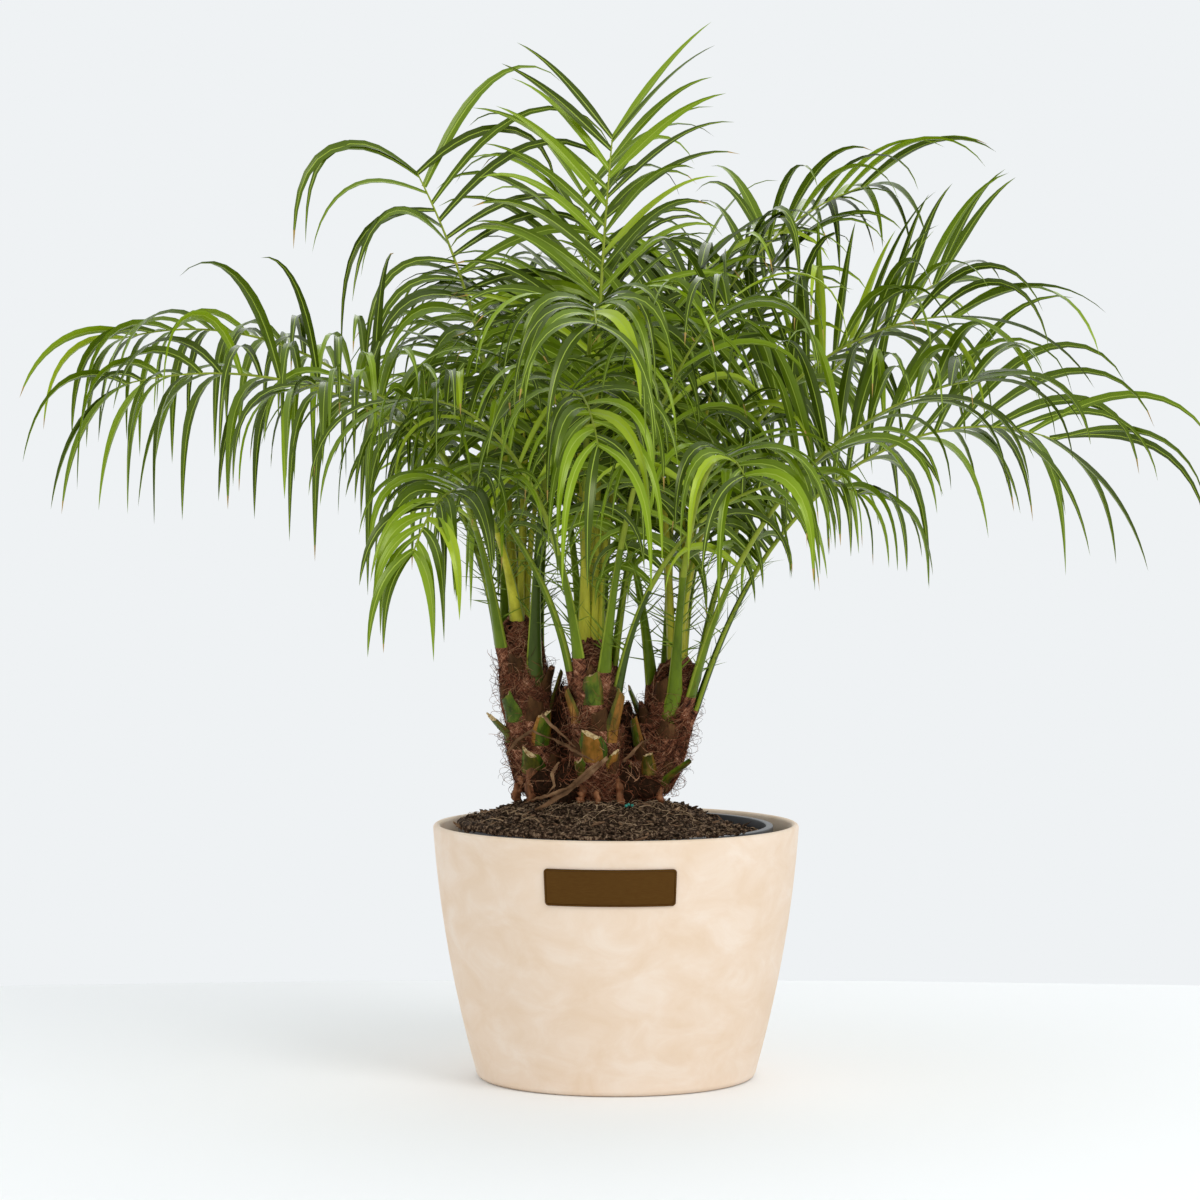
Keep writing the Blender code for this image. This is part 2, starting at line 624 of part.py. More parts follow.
def sag(heading_vector, degrees):
    """Turn a direction towards straight down, less the steeper it already is."""
    axis = heading_vector.cross(Vector((0.0, 0.0, -1.0)))
    if axis.length < 1e-5:
        return heading_vector
    return Matrix.Rotation(math.radians(degrees) * axis.length, 3, axis.normalized()) @ heading_vector


def leaflet_sections(frond, station, side, share, root, rng):
    """Centre, heading, width direction and width at each step of a leaflet, ending in a point."""
    _, tangent, across, upper = station
    splay = (SPLAY_AT_BASE + (SPLAY_AT_TIP - SPLAY_AT_BASE) * share) * frond.splay
    stray = 1.0 - frond.firm * share ** 4
    splay = math.radians(min(splay + rng.uniform(-ANGLE_SPREAD, ANGLE_SPREAD) * stray, SPLAY_LIMIT))
    lift = math.radians(LIFT_AT_BASE + (LIFT_AT_TIP - LIFT_AT_BASE) * share
                        + rng.uniform(-ANGLE_SPREAD, ANGLE_SPREAD) * stray)
    out = across * (side * math.cos(lift)) + upper * math.sin(lift)
    heading_vector = (tangent * math.cos(splay) + out * math.sin(splay)).normalized()
    length = frond.leaf * leaflet_reach(share) * rng.uniform(*LENGTH_SPREAD)
    limp = frond.limp * stray * rng.uniform(*LIMP_SPREAD)
    width_direction = tangent
    sections = []
    centre = root.copy()
    steps = LEAFLET_STEPS * SAG_STEPS
    for step in range(1, steps + 1):
        along = (step - 0.5) / steps
        heading_vector = sag(heading_vector, limp * (frond.late + 1) * along ** frond.late / steps)
        centre = centre + heading_vector * (length / steps)
        if step % SAG_STEPS:
            continue
        width_direction = width_direction - heading_vector * width_direction.dot(heading_vector)
        width_direction.normalize()
        done = step / steps
        width = LEAFLET_WIDTH * (1.0 if done < LEAFLET_FULL else LEAFLET_NARROW)
        sections.append((centre.copy(), heading_vector.copy(), width_direction.copy(),
                         0.0 if step == steps else width))
    return sections


def section_points(centre, heading_vector, width_direction, width, thickness, upward):
    """Three corners of a leaflet's section: rear edge, front edge, keel."""
    under = heading_vector.cross(width_direction).normalized()
    if under.dot(upward) > 0:
        under = -under
    lift = thickness * LEAFLET_KEEL
    return (centre - width_direction * (width / 2) - under * lift,
            centre + width_direction * (width / 2) - under * lift,
            centre + under * (thickness - lift))


class FrondMesh:
    """A rib of three edges whose side faces carry leaflets, grown as one closed skin."""

    def __init__(self, frond):
        """Lay out the rib and its corners; no leaflet is placed yet."""
        self.frond = frond
        self.count = leafy_segments(frond)
        petiole = rib_path(frond, RIB_STEPS)
        step = RIB_STEPS * frond.petiole / PETIOLE_SEGMENTS
        self.stations = [petiole[round(step * k)] for k in range(PETIOLE_SEGMENTS)]
        self.stations += rib_path(frond, self.count, frond.petiole)
        self.corners = []
        for number, (point, tangent, across, upper) in enumerate(self.stations):
            width, depth = self.rib_size(number)
            self.corners.append((point - across * (width / 2) + upper * (depth * RIB_UPPER),
                                 point + across * (width / 2) + upper * (depth * RIB_UPPER),
                                 point - upper * (depth * (1.0 - RIB_UPPER))))
        self.leaflets = {}

    def rib_size(self, number):
        """Width and depth of the rib at a station."""
        if number <= PETIOLE_SEGMENTS:
            share = number / PETIOLE_SEGMENTS
            width = PETIOLE_WIDTH[0] + (PETIOLE_WIDTH[1] - PETIOLE_WIDTH[0]) * share ** PETIOLE_NARROWING
            return width, PETIOLE_DEPTH[0] + (PETIOLE_DEPTH[1] - PETIOLE_DEPTH[0]) * share
        share = (number - PETIOLE_SEGMENTS) / self.count
        return (PETIOLE_WIDTH[1] + (RIB_TIP_WIDTH - PETIOLE_WIDTH[1]) * share,
                PETIOLE_DEPTH[1] + (RIB_TIP_DEPTH - PETIOLE_DEPTH[1]) * share)

    def rib_triangles(self, grow=0.0):
        """The bare rib as loose triangles, moved out by grow, for the overlap test."""
        rings = []
        for corners in self.corners:
            middle = (corners[0] + corners[1] + corners[2]) / 3
            rings.append([c + (c - middle).normalized() * grow for c in corners])
        points = [c for ring in rings for c in ring]
        faces = []
        for number in range(len(rings) - 1):
            low, high = 3 * number, 3 * number + 3
            for a, b in ((0, 1), (1, 2), (2, 0)):
                faces.append((low + a, low + b, high + b))
                faces.append((low + a, high + b, high + a))
        return points, faces

    def leaflet_rings(self, key, rng):
        """Corner rings of a candidate leaflet, from its root on the rib to its point."""
        number, side = key
        first = PETIOLE_SEGMENTS + number
        edge = 0 if side < 0 else 1
        root = (self.corners[first][edge], self.corners[first + 1][edge], self.corners[first][2])
        station = self.stations[first]
        centre = (root[0] + root[1]) / 2
        share = (number + 0.5) / self.count
        rings = [root]
        for middle, heading_vector, width_direction, width in leaflet_sections(
                self.frond, station, side, share, centre, rng):
            if width == 0.0:
                rings.append((middle,))
                continue
            rings.append(section_points(middle, heading_vector, width_direction, width,
                                        LEAFLET_THICKNESS, station[3]))
        return rings

    def build(self, name, material):
        """Skin the rib and the accepted leaflets as one closed mesh."""
        shape = bmesh.new()
        rings = [[shape.verts.new(c) for c in corners] for corners in self.corners]
        for number in range(len(rings) - 1):
            low, high = rings[number], rings[number + 1]
            shape.faces.new((low[0], low[1], high[1], high[0]))
            for side, edge in ((-1, 0), (1, 1)):
                leaflet = self.leaflets.get((number - PETIOLE_SEGMENTS, side))
                if leaflet is None:
                    shape.faces.new((low[edge], high[edge], high[2], low[2]))
                    continue
                shape.faces.new((high[edge], high[2], low[2]))
                skin_leaflet(shape, (low[edge], high[edge], low[2]), leaflet[1:])
        shape.faces.new(rings[0])
        shape.faces.new(rings[-1])
        return add_object(name, shape, material)


def skin_leaflet(shape, root, rings):
    """Bridge a leaflet's rings, from three existing corners to its point."""
    previous = list(root)
    for ring in rings:
        current = [shape.verts.new(c) for c in ring]
        join_rings(shape, previous, current)
        previous = current


def ring_triangles(rings, grow):
    """Loose triangles of a leaflet, moved out by grow, for the overlap test."""
    points = []
    faces = []
    starts = []
    for ring in rings:
        middle = sum(ring, Vector()) / len(ring)
        starts.append(len(points))
        for corner in ring:
            away = corner - middle
            points.append(corner + (away.normalized() * grow if away.length > 0 else away))
    for number in range(len(rings) - 1):
        low, high = starts[number], starts[number + 1]
        for a, b in ((0, 1), (1, 2), (2, 0)):
            if len(rings[number + 1]) == 1:
                faces.append((low + a, low + b, high))
            else:
                faces.append((low + a, low + b, high + b))
                faces.append((low + a, high + b, high + a))
    return points, faces


class Space:
    """What already stands in the crown, so that a leaflet that would touch it is left off."""

    def __init__(self):
        """Start with nothing placed."""
        self.lows = []
        self.highs = []
        self.trees = []
        self.owners = []

    def add(self, points, faces, owner):
        """Keep a piece and its box."""
        coordinates = np.array(points)
        self.lows.append(coordinates.min(axis=0))
        self.highs.append(coordinates.max(axis=0))
        self.trees.append(BVHTree.FromPolygons(points, faces))
        self.owners.append(owner)

    def hits(self, points, faces, ignore=()):
        """Owners of the pieces that a candidate touches."""
        coordinates = np.array(points)
        low = coordinates.min(axis=0)
        high = coordinates.max(axis=0)
        near = np.all(np.array(self.lows) <= high, axis=1) & np.all(np.array(self.highs) >= low, axis=1)
        tree = None
        found = []
        for number in np.nonzero(near)[0]:
            if self.owners[number] in ignore:
                continue
            if tree is None:
                tree = BVHTree.FromPolygons(points, faces)
            if tree.overlap(self.trees[number]):
                found.append(self.owners[number])
        return found


def mesh_triangles(item):
    """An object's mesh as loose points and faces."""
    item.data.calc_loop_triangles()
    points = [v.co.copy() for v in item.data.vertices]
    return points, [tuple(t.vertices) for t in item.data.loop_triangles]


def build_fronds(trunk_items, material):
    """Every frond: ribs first, then leaflets, each only where it stays clear of the rest."""
    fronds = [FrondMesh(frond) for frond in FRONDS]
    space = Space()
    for item in trunk_items:
        space.add(*mesh_triangles(item), owner=item.name)
    for number, frond in enumerate(fronds):
        touched = space.hits(*frond.rib_triangles(CLEARANCE))
        if touched:
            raise ValueError(f"rib {number} of the {FRONDS[number].stem} stem touches {touched}")
        space.add(*frond.rib_triangles(), owner=number)
    longest = max(frond.count for frond in fronds)
    for segment in range(longest - 1, -1, -1):
        for number, frond in enumerate(fronds):
            for key in frond_keys(frond, segment):
                place_leaflet(frond, number, key, space)
    counters = {}
    items = []
    for frond in fronds:
        stem = frond.frond.stem
        counters[stem] = counters.get(stem, 0) + 1
        items.append(frond.build(f"frond_{stem}_{counters[stem]}", material))
    return items


def frond_keys(frond, segment):
    """Leaflets that a rib segment may carry: sides take turns, and the last segment is a fork."""
    if segment == frond.count - 1:
        return ((segment, -1), (segment, 1))
    if segment < frond.count - 1:
        return ((segment, -1 if segment % 2 else 1),)
    return ()


def place_leaflet(frond, number, key, space):
    """Try a few seeded variations of a leaflet and keep the first that stays clear."""
    # neighbours on one rib share its corners, so near its root a leaflet meets only other fronds
    own = {number} | {(number, placed) for placed in frond.leaflets}
    for attempt in range(TRIES):
        rng = random.Random(SEED * 100003 + number * 1009 + key[0] * 31 + key[1] + attempt * 7)
        rings = frond.leaflet_rings(key, rng)
        past_root = tuple(low.lerp(high, ROOT_SHARE) for low, high in zip(rings[0], rings[1]))
        whole = ring_triangles(rings, CLEARANCE)
        free_part = ring_triangles([past_root] + rings[1:], CLEARANCE)
        if space.hits(*whole, ignore=own) or space.hits(*free_part):
            continue
        frond.leaflets[key] = rings
        space.add(*ring_triangles(rings, 0.0), owner=(number, key))
        return


def main():
    """Build the planter, the plate, the nursery pot, the root ball, the trunks and the fronds."""
    clear_scene()
    composite = make_material("moulded_composite", (0.80, 0.62, 0.47), 0.72)
    bronze = make_material("brushed_bronze", (0.10, 0.045, 0.012), 0.38, metallic=1.0)
    black_plastic = make_material("black_polypropylene", (0.012, 0.013, 0.016), 0.45)
    potting_mix = make_material("potting_mix", (0.035, 0.018, 0.010), 0.95)
    fibrous_trunk = make_material("fibrous_trunk", (0.13, 0.055, 0.028), 0.90)
    leaf = make_material("date_palm_leaf", (0.055, 0.16, 0.018), 0.42)

    build_planter(composite)
    build_plate(bronze)
    build_nursery_pot(black_plastic)
    build_root_ball(potting_mix)
    trunk_items = [build_trunk(name, fibrous_trunk) for name in TRUNKS]
    build_fronds(trunk_items, leaf)


main()
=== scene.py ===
"""Looks of the potted pygmy date palm: planter, plate, growing pot, soil, trunks and fronds.

The palm grows here by the same rule and from the same sizes as its solids, carried on to the
full number of leaflets. Metres, +Z up, the front towards -Y.
"""

import logging
import math
import random
from dataclasses import dataclass, field
from enum import Enum

import bpy
import numpy as np
from mathutils import Matrix, Vector, noise


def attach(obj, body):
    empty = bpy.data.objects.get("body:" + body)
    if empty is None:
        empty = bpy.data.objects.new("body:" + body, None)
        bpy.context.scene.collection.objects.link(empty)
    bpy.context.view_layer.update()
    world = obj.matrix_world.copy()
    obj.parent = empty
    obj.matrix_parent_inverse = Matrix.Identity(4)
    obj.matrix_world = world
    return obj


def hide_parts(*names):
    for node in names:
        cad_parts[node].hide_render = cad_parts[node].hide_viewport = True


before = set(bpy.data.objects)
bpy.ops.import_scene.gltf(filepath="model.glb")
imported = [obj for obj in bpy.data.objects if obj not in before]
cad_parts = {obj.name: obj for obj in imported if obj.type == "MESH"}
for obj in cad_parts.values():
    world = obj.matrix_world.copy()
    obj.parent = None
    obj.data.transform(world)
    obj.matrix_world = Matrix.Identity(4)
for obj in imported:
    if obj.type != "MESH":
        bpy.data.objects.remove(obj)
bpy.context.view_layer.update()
LOG = logging.getLogger("pygmy_date_palm")

MM = 0.001
SEED = 11
BODY = "root"
Point = tuple[float, float, float]


class Tint(Enum):
    """Leaf greens from painted deep shade to the bright green that stands for both light and new growth, a leaflet's
    dry end and its pale midrib.
    """
    DEEP = "#3A4C05"
    DARK = "#4A5F08"
    MID = "#5E760B"
    FRESH = "#789212"
    YOUNG = "#96AC20"
    DRY = "#A88A48"
    MIDRIB = "#93A838"


def linear(colour: str) -> tuple[float, float, float, float]:
    """Turn an sRGB hex colour into linear RGBA.

    Args:
        colour: Hex string such as "#EAD8C5".

    Returns:
        Linear red, green, blue and an alpha of 1.
    """
    channels = [int(colour[i:i + 2], 16) / 255 for i in (1, 3, 5)]
    bent = [c / 12.92 if c <= 0.04045 else ((c + 0.055) / 1.055) ** 2.4 for c in channels]
    return (bent[0], bent[1], bent[2], 1.0)


def add_node(tree: bpy.types.NodeTree, kind: str, settings: dict | None = None,
             links: dict | None = None) -> bpy.types.Node:
    """Add a shader node, set its properties and sockets, and link its inputs.

    Args:
        tree: Node tree that takes the node.
        kind: Type name of the node.
        settings: Properties by name, or input socket values by socket name or number.
        links: Output sockets to link, by input socket name or number.

    Returns:
        The new node.
    """
    node = tree.nodes.new(kind)
    for key, value in (settings or {}).items():
        if isinstance(key, str) and key not in node.inputs:
            setattr(node, key, value)
        else:
            node.inputs[key].default_value = value
    for key, source in (links or {}).items():
        tree.links.new(source, node.inputs[key])
    return node


def new_material(name: str) -> tuple[bpy.types.Material, bpy.types.NodeTree, bpy.types.Node]:
    """Start a node material with only its shader and output.

    Args:
        name: Name of the real material.

    Returns:
        The material, its node tree and its Principled shader.
    """
    material = bpy.data.materials.new(name)
    material.use_nodes = True
    tree = material.node_tree
    return material, tree, tree.nodes["Principled BSDF"]


def ramp_between(tree: bpy.types.NodeTree, factor: bpy.types.NodeSocket, stops: list[tuple[float, str]]
                 ) -> bpy.types.NodeSocket:
    """Colour ramp through hex stops.

    Args:
        tree: Node tree that takes the ramp.
        factor: Socket that drives it.
        stops: Position and hex colour of each stop, in order.

    Returns:
        The ramp's colour output.
    """
    ramp = add_node(tree, "ShaderNodeValToRGB", links={"Fac": factor})
    elements = ramp.color_ramp.elements
    while len(elements) < len(stops):
        elements.new(0.5)
    for element, (position, colour) in zip(elements, stops):
        element.position = position
        element.color = linear(colour)
    return ramp.outputs["Color"]


@dataclass(frozen=True)
class StoneComposite:
    """Moulded stone-and-plastic composite: matte, with soft cloudy mottling and a fine tooth."""
    dark: str = "#E5CCB2"
    mid: str = "#E9D3BD"
    pale: str = "#EDDBC9"
    cloud_size: float = 45 * MM
    grain_size: float = 1.4 * MM
    roughness: float = 0.62

    def build(self) -> bpy.types.Material:
        """Return the planter's material."""
        material, tree, shader = new_material("moulded_stone_composite")
        place = add_node(tree, "ShaderNodeTexCoord").outputs["Object"]
        flat = add_node(tree, "ShaderNodeMapping", {"Scale": (1.0, 1.0, 1.6)}, {"Vector": place})
        clouds = add_node(tree, "ShaderNodeTexNoise", {"Scale": 1 / self.cloud_size, "Detail": 5.0,
                                                        "Roughness": 0.62, "Distortion": 0.6},
                          {"Vector": flat.outputs["Vector"]})
        colour = ramp_between(tree, clouds.outputs["Fac"],
                              [(0.34, self.dark), (0.52, self.mid), (0.68, self.pale)])
        tree.links.new(colour, shader.inputs["Base Color"])
        grain = add_node(tree, "ShaderNodeTexNoise", {"Scale": 1 / self.grain_size, "Detail": 3.0},
                         {"Vector": place})
        bump = add_node(tree, "ShaderNodeBump", {"Strength": 0.10, "Distance": 0.0003},
                        {"Height": grain.outputs["Fac"]})
        tree.links.new(bump.outputs["Normal"], shader.inputs["Normal"])
        shader.inputs["Roughness"].default_value = self.roughness
        shader.inputs["IOR"].default_value = 1.47
        return material


@dataclass(frozen=True)
class BrushedBronze:
    """Dark brushed bronze sheet: fine level scratches give a soft sideways sheen."""
    base: str = "#553818"
    worn: str = "#604420"
    scratch_size: float = 0.22 * MM
    roughness: float = 0.33

    def build(self) -> bpy.types.Material:
        """Return the plate's material."""
        material, tree, shader = new_material("brushed_dark_bronze")
        place = add_node(tree, "ShaderNodeTexCoord").outputs["Object"]
        drawn = add_node(tree, "ShaderNodeMapping", {"Scale": (0.04, 0.04, 1.0)}, {"Vector": place})
        scratches = add_node(tree, "ShaderNodeTexNoise", {"Scale": 1 / self.scratch_size, "Detail": 4.0},
                             {"Vector": drawn.outputs["Vector"]})
        colour = ramp_between(tree, scratches.outputs["Fac"], [(0.35, self.base), (0.75, self.worn)])
        tree.links.new(colour, shader.inputs["Base Color"])
        bump = add_node(tree, "ShaderNodeBump", {"Strength": 0.15, "Distance": 0.00005},
                        {"Height": scratches.outputs["Fac"]})
        tree.links.new(bump.outputs["Normal"], shader.inputs["Normal"])
        shader.inputs["Metallic"].default_value = 1.0
        shader.inputs["Roughness"].default_value = self.roughness
        return material


@dataclass(frozen=True)
class BlackPolypropylene:
    """Thin moulded polypropylene: near-black, with a soft waxy shine and faint dust."""
    base: str = "#1B1D22"
    dusty: str = "#33353A"
    roughness: float = 0.38

    def build(self) -> bpy.types.Material:
        """Return the growing pot's material."""
        material, tree, shader = new_material("black_polypropylene")
        place = add_node(tree, "ShaderNodeTexCoord").outputs["Object"]
        dust = add_node(tree, "ShaderNodeTexNoise", {"Scale": 60.0, "Detail": 6.0}, {"Vector": place})
        colour = ramp_between(tree, dust.outputs["Fac"], [(0.45, self.base), (0.85, self.dusty)])
        tree.links.new(colour, shader.inputs["Base Color"])
        shader.inputs["Roughness"].default_value = self.roughness
        shader.inputs["IOR"].default_value = 1.49
        return material


@dataclass(frozen=True)
class Organic:
    """A mottled natural surface: two or three browns or greens, a grain and a bump."""
    name: str
    stops: tuple[tuple[float, str], ...]
    patch_size: float
    roughness: float
    bump: float = 0.3
    bump_depth: float = 0.0006
    stretch: Point = (1.0, 1.0, 1.0)

    def build(self) -> bpy.types.Material:
        """Return the finished material."""
        material, tree, shader = new_material(self.name)
        place = add_node(tree, "ShaderNodeTexCoord").outputs["Object"]
        laid = add_node(tree, "ShaderNodeMapping", {"Scale": self.stretch}, {"Vector": place})
        patches = add_node(tree, "ShaderNodeTexNoise", {"Scale": 1 / self.patch_size, "Detail": 6.0,
                                                         "Roughness": 0.65},
                           {"Vector": laid.outputs["Vector"]})
        colour = ramp_between(tree, patches.outputs["Fac"], list(self.stops))
        tree.links.new(colour, shader.inputs["Base Color"])
        if self.bump > 0:
            bump = add_node(tree, "ShaderNodeBump", {"Strength": self.bump, "Distance": self.bump_depth},
                            {"Height": patches.outputs["Fac"]})
            tree.links.new(bump.outputs["Normal"], shader.inputs["Normal"])
        shader.inputs["Roughness"].default_value = self.roughness
        shader.inputs["Specular IOR Level"].default_value = 0.3 if self.roughness < 0.6 else 0.15
        shader.inputs["Specular Tint"].default_value = linear("#F0EBC0")
        return material


@dataclass(frozen=True)
class FibreMat:
    """Matted leaf-base fibre: two sets of fine strands that cross, with painted shade darkening the gaps between
    them.
    """
    name: str
    stops: tuple[tuple[float, str], ...]
    strand: float = 0.9 * MM
    run: float = 9 * MM
    slant: float = 38.0

    def build(self) -> bpy.types.Material:
        """Return the finished material."""
        material, tree, shader = new_material(self.name)
        place = add_node(tree, "ShaderNodeTexCoord").outputs["Object"]
        sets = []
        for turn in (-self.slant, self.slant + 14):
            turned = add_node(tree, "ShaderNodeMapping", {"Rotation": (0.0, math.radians(turn), 0.0)},
                              {"Vector": place})
            laid = add_node(tree, "ShaderNodeMapping",
                            {"Scale": (1 / self.run, 1 / self.run, 1 / self.strand)},
                            {"Vector": turned.outputs["Vector"]})
            sets.append(add_node(tree, "ShaderNodeTexNoise", {"Scale": 1.0, "Detail": 3.0, "Distortion": 0.8},
                                 {"Vector": laid.outputs["Vector"]}).outputs["Fac"])
        strands = add_node(tree, "ShaderNodeMath", {"operation": "MAXIMUM"}, {0: sets[0], 1: sets[1]})
        clumps = add_node(tree, "ShaderNodeTexNoise", {"Scale": 1 / (7 * MM), "Detail": 4.0}, {"Vector": place})
        mixed = add_node(tree, "ShaderNodeMath", {"operation": "MULTIPLY_ADD", 1: 0.55},
                         {0: clumps.outputs["Fac"]})
        tree.links.new(strands.outputs["Value"], mixed.inputs[2])
        # low values are the gaps between strands, which the ramp paints near-black as shade
        shade = add_node(tree, "ShaderNodeMath", {"operation": "MULTIPLY", 1: 0.66}, {0: mixed.outputs["Value"]})
        colour = ramp_between(tree, shade.outputs["Value"], list(self.stops))
        tree.links.new(colour, shader.inputs["Base Color"])
        bump = add_node(tree, "ShaderNodeBump", {"Strength": 1.0, "Distance": 0.0016},
                        {"Height": shade.outputs["Value"]})
        tree.links.new(bump.outputs["Normal"], shader.inputs["Normal"])
        shader.inputs["Roughness"].default_value = 0.9
        shader.inputs["Specular IOR Level"].default_value = 0.15
        return material


@dataclass(frozen=True)
class LeafTissue:
    """Waxy palm leaflet: one base green per material, fine lengthwise veins, a soft gloss."""
    tint: Tint
    vein_count: float = 9.0
    roughness: float = 0.24

    def build(self) -> bpy.types.Material:
        """Return the leaflet material of one tint."""
        material, tree, shader = new_material("palm_leaflet_" + self.tint.name.lower())
        shader.inputs["Base Color"].default_value = linear(self.tint.value)
        across = add_node(tree, "ShaderNodeUVMap", {"uv_map": "UVMap"})
        veins = add_node(tree, "ShaderNodeTexWave", {"wave_type": "BANDS", "bands_direction": "X",
                                                      "Scale": self.vein_count / 2},
                         {"Vector": across.outputs["UV"]})
        bump = add_node(tree, "ShaderNodeBump", {"Strength": 0.18, "Distance": 0.0002},
                        {"Height": veins.outputs["Fac"]})
        tree.links.new(bump.outputs["Normal"], shader.inputs["Normal"])
        shader.inputs["Roughness"].default_value = 0.7 if self.tint is Tint.DRY else self.roughness
        shader.inputs["Specular IOR Level"].default_value = 0.42
        shader.inputs["Specular Tint"].default_value = linear("#ECF4BC")
        return material


ROTTED_MIX = Organic("moist_potting_mix", ((0.38, "#0C0603"), (0.51, "#3C2A20"), (0.67, "#9E846C")),
                     3 * MM, 0.93, bump=0.9, bump_depth=0.002)
PALE_ROOT = Organic("dry_palm_root", ((0.3, "#8A6A4A"), (0.7, "#CDB292")), 4 * MM, 0.8)
BARK_CHIP = Organic("bark_chip", ((0.3, "#5A4030"), (0.7, "#92745A")), 4 * MM, 0.85)
# the near-black lowest stop is painted shade in the gaps between strands
SHEATH = FibreMat("palm_trunk_matting", ((0.43, "#190B06"), (0.52, "#613826"), (0.60, "#996549"),
                                          (0.70, "#CFA183")))
# near-black lumps between the trunks: painted shade for the dark gaps of the clump
SHADE_DARK_MATTING = Organic("trunk_matting_dark_as_shade", ((0.3, "#150B06"), (0.55, "#2C190F"), (0.8, "#4E3223")),
                      3 * MM, 0.95, bump=0.9, bump_depth=0.0015)
FIBRE_DARK = Organic("shaded_leaf_base_fibre", ((0.3, "#26130B"), (0.7, "#4C2A1C")), 9 * MM, 0.85, bump=0.0)
FIBRE_RED = Organic("leaf_base_fibre", ((0.3, "#5E3220"), (0.7, "#8C543C")), 9 * MM, 0.85, bump=0.0)
FIBRE_PALE = Organic("dry_leaf_base_fibre", ((0.3, "#8E6044"), (0.7, "#B88E6E")), 9 * MM, 0.85, bump=0.0)
GREEN_BASE = Organic("green_leaf_base", ((0.32, "#22320A"), (0.48, "#42590E"), (0.58, "#5E6C1A"),
                                         (0.70, "#7A6228"), (0.80, "#5A3C20")),
                     9 * MM, 0.42, bump=0.2, stretch=(1.0, 1.0, 0.35))
OLIVE_BASE = Organic("olive_leaf_base", ((0.32, "#2A2A0E"), (0.5, "#545216"), (0.64, "#7C6426"),
                                         (0.78, "#563A1E")),
                     8 * MM, 0.5, bump=0.25, stretch=(1.0, 1.0, 0.35))
ORANGE_BASE = Organic("orange_leaf_base", ((0.30, "#46480F"), (0.44, "#6C5018"), (0.56, "#8E5E22"),
                                           (0.70, "#A87638"), (0.82, "#5E3C1E")),
                      8 * MM, 0.5, bump=0.25, stretch=(1.0, 1.0, 0.35))
BROWN_BASE = Organic("dried_leaf_base", ((0.3, "#2E1D10"), (0.55, "#523620"), (0.8, "#7C5A38")),
                     8 * MM, 0.75, stretch=(1.0, 1.0, 0.3))
CUT_FACE = Organic("cut_leaf_base_pith", ((0.35, "#8E6C3E"), (0.65, "#E2CC9E")), 2 * MM, 0.85)
ROOT_KNOB = Organic("aerial_root_bark", ((0.32, "#3A1E10"), (0.52, "#7C4A2E"), (0.66, "#A87452"),
                                         (0.80, "#D0AA86")), 6 * MM, 0.5,
                    bump=0.5, bump_depth=0.0008, stretch=(1.0, 1.0, 0.35))
DRY_STRIP = Organic("dry_leaf_sheath", ((0.3, "#46301F"), (0.55, "#77583F"), (0.8, "#A88B68")), 6 * MM, 0.7,
                    bump=0.2, stretch=(0.4, 0.4, 0.4))
TEAL_GRAIN = Organic("fertiliser_grain", ((0.3, "#1F6E62"), (0.7, "#3E9A8A")), 2 * MM, 0.5, bump=0.0)
RIB_GREEN = Organic("palm_rib", ((0.3, "#76861F"), (0.7, "#98A638")), 20 * MM, 0.42, bump=0.1,
                    stretch=(1.0, 1.0, 0.3))
PETIOLE_DARK = Organic("mature_petiole", ((0.3, "#2E3F12"), (0.7, "#455A1E")), 20 * MM, 0.32, bump=0.1,
                       stretch=(1.0, 1.0, 0.3))
PETIOLE_MID = Organic("growing_petiole", ((0.3, "#465C08"), (0.7, "#6C8414")), 20 * MM, 0.32, bump=0.1,
                      stretch=(1.0, 1.0, 0.3))
NEW_GROWTH = Organic("new_growth", ((0.28, "#7E7E18"), (0.70, "#CECA42")), 14 * MM, 0.36, bump=0.1,
                     stretch=(1.0, 1.0, 0.2))
SPINE_STRAW = Organic("petiole_spine", ((0.3, "#3E5A14"), (0.7, "#82962E")), 10 * MM, 0.5, bump=0.0)


def deselect_all() -> None:
    """Leave object mode's selection empty, so that an operator acts only on what follows."""
    if bpy.context.object and bpy.context.object.mode != "OBJECT":
        bpy.ops.object.mode_set(mode="OBJECT")
    bpy.ops.object.select_all(action="DESELECT")


def finish_piece(piece: bpy.types.Object, materials: list[bpy.types.Material],
                 replaced: list[str], angle: float | None = 35.0) -> None:
    """Give a piece its materials, smooth shading and body, and hide the nodes it stands for.

    Args:
        piece: The finished object, its place in its mesh.
        materials: Materials in slot order.
        replaced: CAD nodes that the piece replaces.
        angle: Edges sharper than this stay sharp, in degrees, or None for flat faces.
    """
    for material in materials:
        piece.data.materials.append(material)
    if angle is not None:
        deselect_all()
        piece.select_set(True)
        bpy.context.view_layer.objects.active = piece
        bpy.ops.object.shade_smooth_by_angle(angle=math.radians(angle))
    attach(piece, BODY)
    if replaced:
        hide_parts(*replaced)
    LOG.info("%s: %d faces", piece.name, len(piece.data.polygons))


